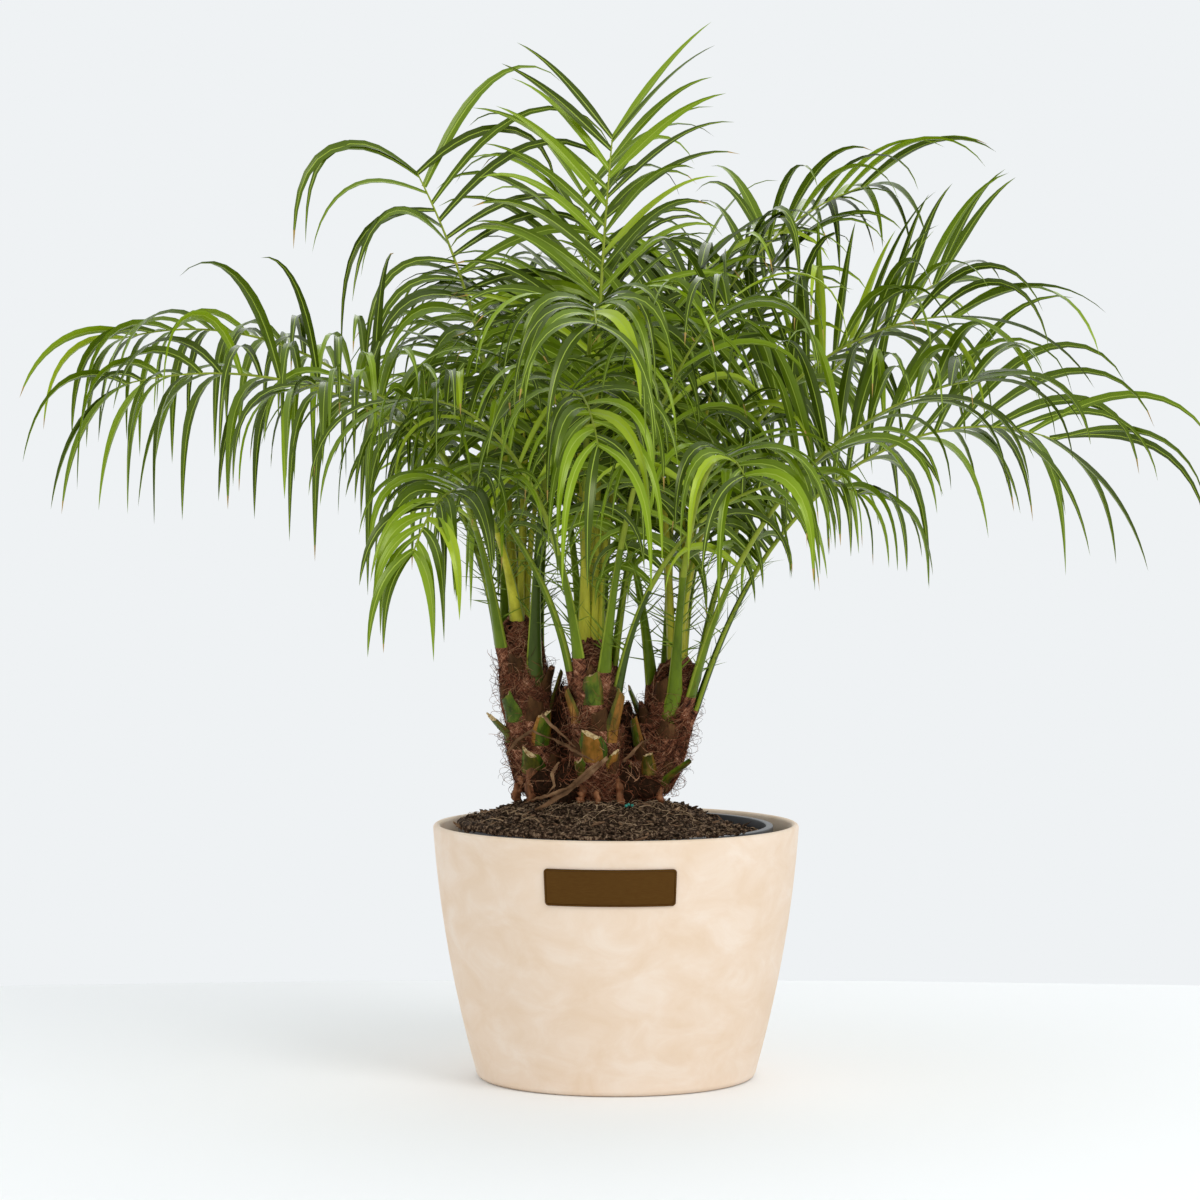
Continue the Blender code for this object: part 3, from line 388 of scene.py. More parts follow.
@dataclass
class MeshStock:
    """Vertices, faces, face materials and UVs gathered for one joined mesh."""
    points: list = field(default_factory=list)
    faces: list = field(default_factory=list)
    paints: list = field(default_factory=list)
    uvs: list = field(default_factory=list)

    def add_tube(self, rings: list[list[Vector]], paint: int | list, cap_start: bool = True,
                 cap_end: bool = True) -> None:
        """Skin closed rings of equal count; a ring of one point is a tip.

        Args:
            rings: Corner points of each section in order.
            paint: Material number, or one for each stretch between rings, or a tuple for its sides.
            cap_start: Close the first ring.
            cap_end: Close the last ring.
        """
        starts = []
        for ring in rings:
            starts.append(len(self.points))
            self.points.extend(ring)
        for number in range(len(rings) - 1):
            sides = max(len(rings[number]), len(rings[number + 1]))
            low, high = starts[number], starts[number + 1]
            tones = paint[number] if isinstance(paint, list) else paint
            v_low, v_high = number / (len(rings) - 1), (number + 1) / (len(rings) - 1)
            for step in range(sides):
                after = (step + 1) % sides
                u_low, u_high = step / sides, (step + 1) / sides
                if len(rings[number + 1]) == 1:
                    self.faces.append((low + step, low + after, high))
                    self.uvs += [(u_low, v_low), (u_high, v_low), (u_low, v_high)]
                elif len(rings[number]) == 1:
                    self.faces.append((low, high + after, high + step))
                    self.uvs += [(u_low, v_low), (u_high, v_high), (u_low, v_high)]
                else:
                    self.faces.append((low + step, low + after, high + after, high + step))
                    self.uvs += [(u_low, v_low), (u_high, v_low), (u_high, v_high), (u_low, v_high)]
                self.paints.append(tones[step] if isinstance(tones, tuple) else tones)
        for capped, ring, start, turn in ((cap_start, rings[0], starts[0], -1),
                                          (cap_end, rings[-1], starts[-1], 1)):
            if capped and len(ring) > 2:
                corners = list(range(start, start + len(ring)))[::turn]
                self.faces.append(tuple(corners))
                self.uvs += [(0.5, 0.5)] * len(corners)
                end_tone = paint[0 if turn < 0 else -1] if isinstance(paint, list) else paint
                self.paints.append(end_tone[0] if isinstance(end_tone, tuple) else end_tone)

    def make(self, name: str) -> bpy.types.Object:
        """Return the gathered mesh as one object at the origin, its faces pointing out."""
        mesh = bpy.data.meshes.new(name)
        mesh.from_pydata([tuple(p) for p in self.points], [], self.faces)
        mesh.polygons.foreach_set("material_index", self.paints)
        layer = mesh.uv_layers.new(name="UVMap")
        layer.data.foreach_set("uv", np.array(self.uvs, dtype=np.float32).ravel())
        mesh.update()
        piece = bpy.data.objects.new(name, mesh)
        bpy.context.scene.collection.objects.link(piece)
        return piece


def turned_piece(name: str, profile: list[tuple[float, float]], sides: int) -> bpy.types.Object:
    """Extrude and scale a filled circle along a (radius, height) profile, as on a lathe.

    Args:
        name: Name of the object.
        profile: Radii and heights from the underside, over the lip, to the inner floor.
        sides: Number of sides of the turned form.

    Returns:
        A closed object at the origin with its place in its mesh.
    """
    deselect_all()
    radius, height = profile[0]
    bpy.ops.mesh.primitive_circle_add(vertices=sides, radius=radius, fill_type="NGON",
                                      location=(0, 0, height), enter_editmode=True)
    piece = bpy.context.object
    piece.name = name
    for next_radius, next_height in profile[1:]:
        bpy.ops.mesh.extrude_region_move(TRANSFORM_OT_translate={"value": (0, 0, next_height - height)})
        scale = next_radius / radius
        bpy.ops.transform.resize(value=(scale, scale, 1.0), center_override=(0, 0, next_height))
        radius, height = next_radius, next_height
    bpy.ops.mesh.select_all(action="SELECT")
    bpy.ops.mesh.normals_make_consistent(inside=False)
    bpy.ops.object.mode_set(mode="OBJECT")
    bpy.ops.object.transform_apply(location=True, rotation=True, scale=True)
    return piece


@dataclass
class Planter:
    """The turned composite tub: convex taper, rounded foot and full-round lip."""
    height: float = 0.208
    rim_radius: float = 0.150
    foot_radius: float = 0.1135
    bulge: float = 0.62
    wall: float = 0.006
    floor: float = 0.008
    foot_round: float = 0.006
    sides: int = 160
    rings: int = 22

    def radius(self, height: float) -> float:
        """Return the outer radius of the wall at a height."""
        fall = 1.0 - height / self.height
        taper = (1.0 - self.bulge) * fall + self.bulge * fall * fall
        return self.rim_radius - (self.rim_radius - self.foot_radius) * taper

    def profile(self) -> list[tuple[float, float]]:
        """Return the outline from the underside, over the lip, to the inner floor."""
        points = []
        centre = self.radius(self.foot_round) - self.foot_round
        for step in range(7):
            angle = math.radians(-90 + 15 * step)
            points.append((centre + self.foot_round * math.cos(angle),
                           self.foot_round * (1 + math.sin(angle))))
        lip = self.wall / 2
        base = self.height - lip
        for ring in range(1, self.rings):
            height = self.foot_round + (base - self.foot_round) * ring / self.rings
            points.append((self.radius(height), height))
        for step in range(9):
            angle = math.radians(22.5 * step)
            points.append((self.radius(base) - lip + lip * math.cos(angle), base + lip * math.sin(angle)))
        for ring in range(self.rings - 1, -1, -1):
            height = self.floor + (base - self.floor) * ring / self.rings
            points.append((self.radius(height) - self.wall, height))
        return points

    def build(self) -> None:
        """Turn the tub and dress it."""
        piece = turned_piece("planter_shell", self.profile(), self.sides)
        finish_piece(piece, [StoneComposite().build()], ["planter"])


@dataclass
class NamePlate:
    """A blank bronze plate bent round the wall, with a fine raised border."""
    width: float = 0.1055
    height: float = 0.0295
    thickness: float = 0.0016
    corner: float = 0.003
    centre_z: float = 0.1707
    centre_x: float = -0.0053
    gap: float = 0.0003
    border: float = 0.0014
    border_rise: float = 0.0006

    def place(self, planter: Planter, along: float, height: float, lift: float) -> Vector:
        """Return a point over the wall: arc length, height from the plate's centre, stand-off."""
        middle = planter.radius(self.centre_z)
        turn = -math.pi / 2 + (self.centre_x + along) / middle
        radius = planter.radius(self.centre_z + height) + lift
        return Vector((radius * math.cos(turn), radius * math.sin(turn), self.centre_z + height))

    def outline(self, inset: float) -> list[tuple[float, float]]:
        """Return the rounded outline, drawn in by an inset."""
        half_w, half_h = self.width / 2 - inset, self.height / 2 - inset
        corner = max(self.corner - inset * 0.6, 0.0008)
        points = []
        for cx, cy, start in ((1, -1, -90), (1, 1, 0), (-1, 1, 90), (-1, -1, 180)):
            for step in range(7):
                angle = math.radians(start + 15 * step)
                points.append((cx * (half_w - corner) + corner * math.cos(angle),
                               cy * (half_h - corner) + corner * math.sin(angle)))
            if cx == cy:
                runs = 24
                first, last = points[-1], (-cx * (half_w - corner), cy * half_h)
                for step in range(1, runs):
                    share = step / runs
                    points.append((first[0] + (last[0] - first[0]) * share, cy * half_h))
        return points

    def build(self, planter: Planter) -> None:
        """Skin nested outlines from the back edge to the field inside the border."""
        levels = ((0.0, 0.0), (0.0, self.thickness - 0.0004), (0.0004, self.thickness),
                  (self.border, self.thickness), (self.border + 0.0003, self.thickness - self.border_rise))
        stock = MeshStock()
        rings = [[self.place(planter, a, h, self.gap + lift) for a, h in self.outline(inset)]
                 for inset, lift in levels]
        stock.add_tube(rings, 0, cap_start=False, cap_end=False)
        self.fill(stock, planter, self.gap, 0.0, True)
        self.fill(stock, planter, self.gap + self.thickness - self.border_rise, self.border + 0.0003, False)
        piece = stock.make("blank_plate")
        deselect_all()
        piece.select_set(True)
        bpy.context.view_layer.objects.active = piece
        bpy.ops.object.mode_set(mode="EDIT")
        bpy.ops.mesh.select_all(action="SELECT")
        bpy.ops.mesh.remove_doubles(threshold=0.00001)
        bpy.ops.mesh.normals_make_consistent(inside=False)
        bpy.ops.object.mode_set(mode="OBJECT")
        finish_piece(piece, [BrushedBronze().build()], ["name_plate"], angle=25)

    def fill(self, stock: MeshStock, planter: Planter, lift: float, inset: float, back: bool) -> None:
        """Fill an outline with upright strips, so that the sheet follows the wall's curve.

        Args:
            stock: Mesh that takes the strips.
            planter: The tub that the plate follows.
            lift: Stand-off of the sheet.
            inset: How far the outline is drawn in.
            back: True for the face against the wall.
        """
        outline = self.outline(inset)
        lower = sorted({(round(a, 7), round(h, 7)) for a, h in outline if h < 0})
        upper = sorted({(round(a, 7), round(h, 7)) for a, h in outline if h > 0})
        count = min(len(lower), len(upper))
        start = len(stock.points)
        for along, height in lower[:count] + upper[:count]:
            stock.points.append(self.place(planter, along, height, lift))
        for step in range(count - 1):
            corners = (start + step, start + step + 1, start + count + step + 1, start + count + step)
            stock.faces.append(corners[::-1] if back else corners)
            stock.uvs += [(0.5, 0.5)] * 4
            stock.paints.append(0)


@dataclass
class GrowingPot:
    """The thin black nursery pot inside the tub, with a folded lip."""
    rim_radius: float = 0.129
    foot_radius: float = 0.099
    top: float = 0.2068
    base: float = 0.0083
    wall: float = 0.0016
    lip_width: float = 0.0045
    lip_depth: float = 0.010

    def radius(self, height: float) -> float:
        """Return the outer radius of the straight wall at a height."""
        share = (height - self.base) / (self.top - self.base)
        return self.foot_radius + (self.rim_radius - self.lip_width - self.foot_radius) * share

    def build(self) -> None:
        """Turn the pot and dress it."""
        lip_foot = self.top - self.lip_depth
        profile = [(self.foot_radius - 0.002, self.base), (self.foot_radius, self.base + 0.002)]
        for step in range(1, 9):
            height = self.base + (lip_foot - self.base) * step / 8
            profile.append((self.radius(height), height))
        profile += [(self.rim_radius - 0.0006, lip_foot + 0.0006), (self.rim_radius, lip_foot + 0.0014),
                    (self.rim_radius, self.top - 0.0012), (self.rim_radius - 0.0004, self.top - 0.0004),
                    (self.rim_radius - 0.0012, self.top)]
        inner = self.radius(self.top) - self.wall
        profile += [(inner + 0.0006, self.top), (inner, self.top - 0.0006)]
        for step in range(7, -1, -1):
            height = self.base + self.wall + (self.top - 0.002 - self.base - self.wall) * step / 8
            profile.append((self.radius(height) - self.wall, height))
        piece = turned_piece("growing_pot", profile, 128)
        finish_piece(piece, [BlackPolypropylene().build()], ["nursery_pot"])


@dataclass
class RootBall:
    """Potting mix: a crumbly mound with loose clods, spilled on the lip, and pale dry roots."""
    mound_top: float = 0.2258
    centre_x: float = -0.018
    flat: tuple[float, float] = (0.052, 0.034)
    shoulder: float = 0.06
    edge_low: float = 0.1970
    edge_high: float = 0.2135
    high_side: float = 215.0
    spill: float = 0.0075
    foot_radius: float = 0.096
    edge_radius: float = 0.1228
    segments: int = 220
    rings: int = 64
    clod_count: int = 4200
    root_count: int = 320
    # coloured grains of fertiliser, as (x, y) places
    grains: tuple[tuple[float, float], ...] = ((0.010, -0.042), (0.013, -0.044), (0.008, -0.047),
                                               (-0.062, 0.058), (0.055, 0.040))

    def surface(self, turn: float, share: float) -> Vector:
        """Return a point of the smooth mound: direction seen from above and share to the rim."""
        inner = Vector((self.centre_x + self.flat[0] * math.cos(turn), self.flat[1] * math.sin(turn), 0))
        outer = Vector((self.edge_radius * math.cos(turn), self.edge_radius * math.sin(turn), 0))
        centre = Vector((self.centre_x, 0, 0))
        core = 0.35
        if share < core:
            point = centre.lerp(inner, share / core)
            slope = 0.0
        else:
            along = (share - core) / (1 - core)
            point = inner.lerp(outer, along)
            slope = along - self.shoulder * math.sin(2 * math.pi * along)
        # the mix stands higher at the front left, where it hides the growing pot's lip
        high = 0.5 + 0.5 * math.cos(turn - math.radians(self.high_side))
        edge = self.edge_low + (self.edge_high - self.edge_low) * high
        point.z = self.mound_top + (edge - self.mound_top) * slope
        return point

    def crumble(self, point: Vector, amount: float) -> Vector:
        """Return the point moved by layered noise, as crumbs and hollows."""
        fine = noise.fractal(point * 260, 0.9, 2.1, 4)
        coarse = noise.noise(point * 70)
        return Vector((0, 0, (fine * 0.0022 + coarse * 0.0034) * amount))

    def build(self) -> None:
        """Make the mound, the clods and the roots."""
        rng = random.Random(SEED)
        stock = MeshStock()
        rings = []
        for ring in range(self.rings + 1):
            share = ring / self.rings
            row = []
            for step in range(self.segments):
                turn = 2 * math.pi * step / self.segments
                point = self.surface(turn, max(share, 0.01))
                row.append(point + self.crumble(point, 1.0 if ring < self.rings else 0.3))
            rings.append(row)
        # on its high side the mix spills over the growing pot's lip
        for push, drop in ((0.6, 0.0006), (1.0, 0.0030)):
            row = []
            for step in range(self.segments):
                turn = 2 * math.pi * step / self.segments
                edge = self.surface(turn, 1.0)
                high = max(0.0, min(1.0, (edge.z - 0.2040) / 0.0045))
                ragged = 0.75 + 0.5 * noise.noise(edge * 60)
                far = self.edge_radius + self.spill * push * high * ragged
                row.append(Vector((far * math.cos(turn), far * math.sin(turn), edge.z - drop * high))
                           + self.crumble(edge * 1.02, 0.4))
            rings.append(row)
        side = []
        for step in range(self.segments):
            turn = 2 * math.pi * step / self.segments
            side.append(Vector((self.foot_radius * math.cos(turn), self.foot_radius * math.sin(turn), 0.0105)))
        rings.append(side)
        stock.add_tube(rings, 0)
        piece = stock.make("potting_mix")
        finish_piece(piece, [ROTTED_MIX.build()], ["soil"], angle=70)
        self.build_clods(rng)
        self.build_roots(rng)

    def build_clods(self, rng: random.Random) -> None:
        """Scatter small angular clods over the mound and on the growing pot's lip."""
        stock = MeshStock()
        for number in range(self.clod_count):
            turn = rng.uniform(0, 2 * math.pi)
            share = math.sqrt(rng.uniform(0.05, 1.0))
            size = rng.choice((0.5, 0.6, 0.8, 1.0, 1.3, 1.8, 3.2)) * MM * rng.uniform(0.7, 1.2)
            if rng.random() < 0.14 and math.cos(turn - math.radians(235)) > 0.0:
                base = self.surface(turn, 1.0)
                base = Vector((base.x, base.y, 0)) * rng.uniform(1.0, 1.06) + Vector((0, 0, 0.2072))
            else:
                base = self.surface(turn, share)
                base += self.crumble(base, 1.0)
            stretch = rng.choice((1.0, 1.0, 2.2, 3.2))
            grain = Matrix.Rotation(rng.uniform(0, math.pi), 3, "Z")
            grain = grain @ Matrix.Rotation(rng.uniform(-0.6, 0.6), 3, "Y")
            slim = Matrix.Diagonal((stretch, 1.0 / stretch ** 0.5, 1.0 / stretch ** 0.5))
            rings = []
            for level, reach in ((-0.8, 0.0), (-0.35, 0.85), (0.35, 0.8), (0.8, 0.0)):
                if reach == 0.0:
                    rings.append([base + grain @ slim @ Vector((0, 0, level * size))])
                    continue
                row = []
                for step in range(5):
                    angle = 2 * math.pi * (step + 0.5 * (level > 0)) / 5
                    far = size * reach * rng.uniform(0.7, 1.25)
                    row.append(base + grain @ slim @ Vector((far * math.cos(angle), far * math.sin(angle),
                                                             level * size * rng.uniform(0.7, 1.2))))
                rings.append(row)
            stock.add_tube(rings, 1 if stretch > 2.5 and rng.random() < 0.35 else 0)
        for x, y in self.grains:
            place = self.surface(math.atan2(y, x), self.share_at(Vector((x, y, 0)))) + Vector((0, 0, 0.0015))
            ball = [[Vector((x, y, place.z + 0.0013 * math.sin(tilt)))
                     + Vector((math.cos(turn), math.sin(turn), 0)) * 0.0013 * math.cos(tilt)
                     for turn in (math.pi * step / 4 for step in range(8))]
                    for tilt in (-1.2, -0.6, 0.0, 0.6, 1.2)]
            stock.add_tube(ball, 2)
        piece = stock.make("soil_clods")
        finish_piece(piece, [ROTTED_MIX.build(), BARK_CHIP.build(), TEAL_GRAIN.build()], [],
                     angle=None)

    def build_roots(self, rng: random.Random) -> None:
        """Lay thin pale roots that curl over the mound."""
        stock = MeshStock()
        for number in range(self.root_count):
            turn = rng.uniform(0, 2 * math.pi)
            share = rng.uniform(0.15, 0.95)
            start = self.surface(turn, share)
            heading = rng.uniform(0, 2 * math.pi)
            point = Vector((start.x, start.y, 0))
            path = []
            curl = rng.uniform(-0.3, 0.3)
            steps = rng.randint(4, 14)
            for step in range(steps):
                heading += curl + rng.uniform(-0.35, 0.35)
                point = point + Vector((math.cos(heading), math.sin(heading), 0)) * 0.0018
                reach = min(0.98, self.share_at(point))
                height = self.surface(math.atan2(point.y, point.x), reach).z
                arch = math.sin(math.pi * step / (steps - 1)) * 0.0022
                path.append(Vector((point.x, point.y, height + 0.0008 + arch)))
            stock.add_tube(tube_rings(path, rng.choice((0.14, 0.18, 0.24, 0.4)) * MM, 0.10 * MM, 4), 0)
        piece = stock.make("pale_roots")
        finish_piece(piece, [PALE_ROOT.build()], [], angle=60)

    def share_at(self, point: Vector) -> float:
        """Return roughly how far a point lies from the mound's centre to the rim."""
        return min(1.0, math.hypot(point.x - self.centre_x * 0.5, point.y) / self.edge_radius)


def tube_rings(path: list[Vector], start_radius: float, end_radius: float, sides: int) -> list[list[Vector]]:
    """Sections of a round tapering tube along a path.

    Args:
        path: Centre points in order.
        start_radius: Radius at the first point.
        end_radius: Radius at the last point.
        sides: Corners of each section.

    Returns:
        One ring of corner points for each path point.
    """
    rings = []
    guide = Vector((0.31, 0.17, 0.93))
    for number, point in enumerate(path):
        before = path[max(0, number - 1)]
        after = path[min(len(path) - 1, number + 1)]
        tangent = (after - before).normalized()
        across = tangent.cross(guide)
        across = across.normalized() if across.length > 1e-4 else Vector((1, 0, 0))
        other = tangent.cross(across)
        radius = start_radius + (end_radius - start_radius) * number / (len(path) - 1)
        rings.append([point + (across * math.cos(a) + other * math.sin(a)) * radius
                      for a in (2 * math.pi * s / sides for s in range(sides))])
    return rings


def direction(lean: float, heading: float) -> Vector:
    """Return the unit vector that leans from the vertical towards a heading; degrees."""
    tilt, turn = math.radians(lean), math.radians(heading)
    return Vector((math.sin(tilt) * math.cos(turn), math.sin(tilt) * math.sin(turn), math.cos(tilt)))


def sideways(heading: float) -> Vector:
    """Return the level unit vector at right angles to a heading."""
    turn = math.radians(heading)
    return Vector((-math.sin(turn), math.cos(turn), 0.0))


def sag(heading_vector: Vector, degrees: float) -> Vector:
    """Turn a direction towards straight down, less the steeper it already is."""
    axis = heading_vector.cross(Vector((0.0, 0.0, -1.0)))
    if axis.length < 1e-5:
        return heading_vector
    return Matrix.Rotation(math.radians(degrees) * axis.length, 3, axis.normalized()) @ heading_vector


@dataclass(frozen=True)
class Trunk:
    """One of the clump's stems, from its flat cut at the soil to its tip."""
    foot: tuple[float, float]
    tip: Point
    foot_radius: float
    body_radius: float
    tip_radius: float
    soil_level: float = 0.2293
    flare_share: float = 0.30
    early_lean: float = 0.6

    def axis(self, share: float) -> Vector:
        """Return a point on the centre line, which leans out most near the soil."""
        foot = Vector((*self.foot, self.soil_level))
        point = foot.lerp(Vector(self.tip), share ** self.early_lean)
        point.z = self.soil_level + self.height() * share
        return point

    def radius(self, share: float) -> float:
        """Return the radius: drawn in at the soil, a full body and a quick taper at the crown."""
        body = self.tip_radius + (self.body_radius - self.tip_radius) * (1.0 - share ** 3.2)
        flare = max(0.0, 1.0 - share / self.flare_share)
        return body + (self.foot_radius - self.body_radius) * flare * flare

    def height(self) -> float:
        """Return the length above the soil."""
        return self.tip[2] - self.soil_level


@dataclass(frozen=True)
class Frond:
    """How a rib leaves its stem, arches and droops, and how its leaflets hang."""
    stem: str
    drop: float
    heading: float
    rise: float
    arch: float
    length: float
    bend: float = 1.3
    leaf: float = 0.17
    limp: float = 120.0
    late: float = 1.0
    splay: float = 1.0
    petiole: float = 0.29
    turn: float = 0.0
    roll: float = 0.0
    firm: float = 0.0
    # share of brighter leaflet tints: painted light on the fronds that face the front, and new growth
    young: float = 0.0
    green_from: float = 0.0


class Tone(Enum):
    """How far a cut leaf base has dried, as its material number."""
    GREEN = 0
    OLIVE = 1
    ORANGE = 2
    BROWN = 3


@dataclass(frozen=True)
class Stub:
    """A cut leaf base: where it stands on its stem, how it leans, its size and its two tones."""
    stem: str
    height: float
    heading: float
    lean: float
    length: float
    width: float
    tone: Tone
    edge: Tone


TRUNKS = {
    "left": Trunk((-0.056, 0.010), (-0.080, 0.016, 0.370), 0.0165, 0.0195, 0.0118),
    "middle": Trunk((-0.014, -0.012), (-0.020, -0.018, 0.356), 0.0155, 0.0178, 0.0108),
    "right": Trunk((0.018, 0.006), (0.051, 0.011, 0.338), 0.0175, 0.0195, 0.0115),
}

FRONDS = (
    Frond("left", 0.000, 150, 4, 27, 0.385, bend=1.5, leaf=0.235, limp=175, late=1.1, splay=1.65, turn=-50,
          roll=-32),
    Frond("left", 0.028, 280, 5, 128, 0.44, leaf=0.17, limp=170, late=0.8, turn=20, young=0.35,
          green_from=-0.024),
    Frond("left", 0.014, 100, 9, 68, 0.35, leaf=0.17, limp=150, late=1.0, turn=30, roll=-15),
    Frond("left", 0.016, 171, 8, 97, 0.46, bend=1.2, leaf=0.165, limp=260, late=0.35, splay=1.1, roll=14, firm=0.5),
    Frond("left", 0.018, 230, 12, 94, 0.36, bend=1.5, leaf=0.15, limp=170, late=0.6, turn=-18, roll=4),
    Frond("left", 0.028, 78, 10, 60, 0.42, leaf=0.17, limp=110, late=1.4, turn=-24),
    Frond("left", 0.000, 256, 26, 104, 0.35, bend=1.0, leaf=0.13, limp=160, late=0.8, splay=0.75, turn=4,
          young=0.6),
    Frond("left", 0.050, 100, 17, 80, 0.42, bend=1.2, leaf=0.16, limp=130, late=1.2, turn=-7),
    Frond("middle", 0.000, 75, 2, 18, 0.418, bend=1.5, leaf=0.155, limp=60, late=1.4, splay=1.15, turn=15,
          roll=8, young=0.1, firm=0.5),
    Frond("middle", 0.000, 48, 4, 62, 0.35, bend=2.0, leaf=0.17, limp=100, late=1.4, turn=-78),
    Frond("middle", 0.000, 272, 6, 108, 0.44, bend=1.5, leaf=0.17, limp=180, late=0.7, turn=-62, young=0.3),
    Frond("middle", 0.018, 20, 8, 66, 0.48, bend=2.0, leaf=0.17, limp=180, late=0.7, turn=-5, roll=-22,
          firm=0.5),
    Frond("middle", 0.022, 238, 12, 84, 0.36, leaf=0.155, limp=170, late=0.8, roll=20, young=0.3,
          green_from=0.010),
    Frond("middle", 0.024, 108, 10, 66, 0.42, leaf=0.17, limp=120, late=1.3, turn=7),
    Frond("middle", 0.022, 194, 11, 93, 0.48, bend=1.0, leaf=0.19, limp=230, late=0.3, splay=1.3, turn=-14,
          roll=30, firm=0.25),
    Frond("middle", 0.022, 298, 11, 54, 0.37, leaf=0.17, limp=160, late=0.8, turn=4, young=0.3),
    Frond("middle", 0.040, 326, 12, 98, 0.32, leaf=0.14, limp=170, late=0.8, turn=22, roll=-15),
    Frond("middle", 0.040, 85, 16, 80, 0.42, bend=1.2, leaf=0.16, limp=130, late=1.2, turn=-15),
    Frond("middle", 0.016, 96, 5, 34, 0.42, leaf=0.18, limp=120, late=1.4, turn=-28),
    Frond("right", 0.000, 50, 8, 30, 0.36, leaf=0.18, limp=90, late=1.3, turn=35),
    Frond("right", 0.000, 343, 6, 84, 0.40, bend=1.45, leaf=0.195, limp=190, late=0.6, turn=-73, roll=-30, firm=0.5),
    Frond("right", 0.012, 15, 10, 50, 0.40, bend=1.2, leaf=0.16, limp=50, late=1.6, roll=-35),
    Frond("right", 0.018, 120, 12, 60, 0.42, leaf=0.17, limp=120, late=1.3, turn=36),
    Frond("right", 0.026, 325, 16, 66, 0.39, bend=1.2, leaf=0.175, limp=150, late=0.9, turn=-6, roll=-20, firm=0.3),
    Frond("right", 0.028, 72, 16, 76, 0.44, bend=1.2, leaf=0.16, limp=130, late=1.2),
    Frond("right", 0.038, 8, 19, 92, 0.42, bend=1.6, leaf=0.215, limp=140, late=1.0, turn=-21, roll=-35, firm=0.35),
    Frond("right", 0.022, 281, 12, 104, 0.36, bend=1.4, leaf=0.17, limp=170, late=0.7, turn=-8, young=0.7,
          green_from=-0.036),
    Frond("right", 0.012, 82, 7, 34, 0.36, leaf=0.18, limp=120, late=1.4, turn=28),
)

STUBS = (
    Stub("left", 0.062, 226, 24, 0.022, 0.018, Tone.GREEN, Tone.GREEN),
    Stub("left", 0.045, 196, 44, 0.025, 0.015, Tone.GREEN, Tone.OLIVE),
    Stub("left", 0.043, 290, 20, 0.027, 0.016, Tone.GREEN, Tone.ORANGE),
    Stub("left", 0.020, 256, 28, 0.018, 0.019, Tone.OLIVE, Tone.GREEN),
    Stub("left", 0.068, 345, 16, 0.036, 0.011, Tone.BROWN, Tone.OLIVE),
    Stub("left", 0.012, 150, 30, 0.024, 0.017, Tone.BROWN, Tone.OLIVE),
    Stub("left", 0.050, 110, 28, 0.028, 0.017, Tone.OLIVE, Tone.GREEN),
    Stub("left", 0.022, 55, 28, 0.026, 0.017, Tone.BROWN, Tone.BROWN),
    Stub("middle", 0.078, 268, 18, 0.026, 0.017, Tone.GREEN, Tone.OLIVE),
    Stub("middle", 0.062, 214, 22, 0.028, 0.012, Tone.ORANGE, Tone.OLIVE),
    Stub("middle", 0.032, 262, 28, 0.024, 0.023, Tone.ORANGE, Tone.GREEN),
    Stub("middle", 0.047, 318, 18, 0.042, 0.015, Tone.ORANGE, Tone.OLIVE),
    Stub("middle", 0.018, 234, 30, 0.016, 0.014, Tone.OLIVE, Tone.GREEN),
    Stub("middle", 0.022, 308, 24, 0.018, 0.011, Tone.ORANGE, Tone.OLIVE),
    Stub("middle", 0.052, 96, 26, 0.034, 0.018, Tone.OLIVE, Tone.BROWN),
    Stub("right", 0.056, 166, 22, 0.034, 0.011, Tone.GREEN, Tone.GREEN),
    Stub("right", 0.034, 218, 12, 0.031, 0.013, Tone.GREEN, Tone.ORANGE),
    Stub("right", 0.019, 262, 24, 0.018, 0.012, Tone.OLIVE, Tone.ORANGE),
    Stub("right", 0.005, 236, 16, 0.022, 0.011, Tone.GREEN, Tone.OLIVE),
    Stub("right", 0.005, 322, 56, 0.040, 0.012, Tone.OLIVE, Tone.GREEN),
    Stub("right", 0.048, 30, 28, 0.030, 0.017, Tone.OLIVE, Tone.ORANGE),
    Stub("right", 0.020, 84, 30, 0.028, 0.017, Tone.BROWN, Tone.OLIVE),
    Stub("right", 0.060, 110, 24, 0.030, 0.015, Tone.BROWN, Tone.BROWN),
)


def frond_base(frond: Frond) -> Vector:
    """Return the centre of a petiole's lowest section, just clear of its leaf base."""
    trunk = TRUNKS[frond.stem]
    share = 1.0 - frond.drop / trunk.height()
    seat = direction(90, frond.heading + frond.turn)
    if frond.drop == 0.0:
        return trunk.axis(1.0) + seat * (trunk.tip_radius * 0.6) + Vector((0.0, 0.0, 0.004))
    return trunk.axis(share) + seat * (trunk.radius(share) + 0.0062 * 0.75)


@dataclass
class Station:
    """One place along a rib: its point, tangent, side and upper direction."""
    point: Vector
    tangent: Vector
    across: Vector
    upper: Vector


def rib_stations(frond: Frond, fine: int = 120) -> list[Station]:
    """Follow a rib from its base to its last leaflet.

    Args:
        frond: The frond's sizes.
        fine: Number of steps.

    Returns:
        A station at each step.
    """
    point = frond_base(frond)
    level = sideways(frond.heading)
    stations = []
    for step in range(fine + 1):
        share = step / fine
        tangent = direction(frond.rise + frond.arch * share ** frond.bend, frond.heading)
        roll = frond.roll * min(1.0, share / (2 * frond.petiole))
        across = Matrix.Rotation(math.radians(roll), 3, tangent) @ level
        stations.append(Station(point.copy(), tangent, across, tangent.cross(across).normalized()))
        point = point + tangent * (frond.length / fine)
    return stations


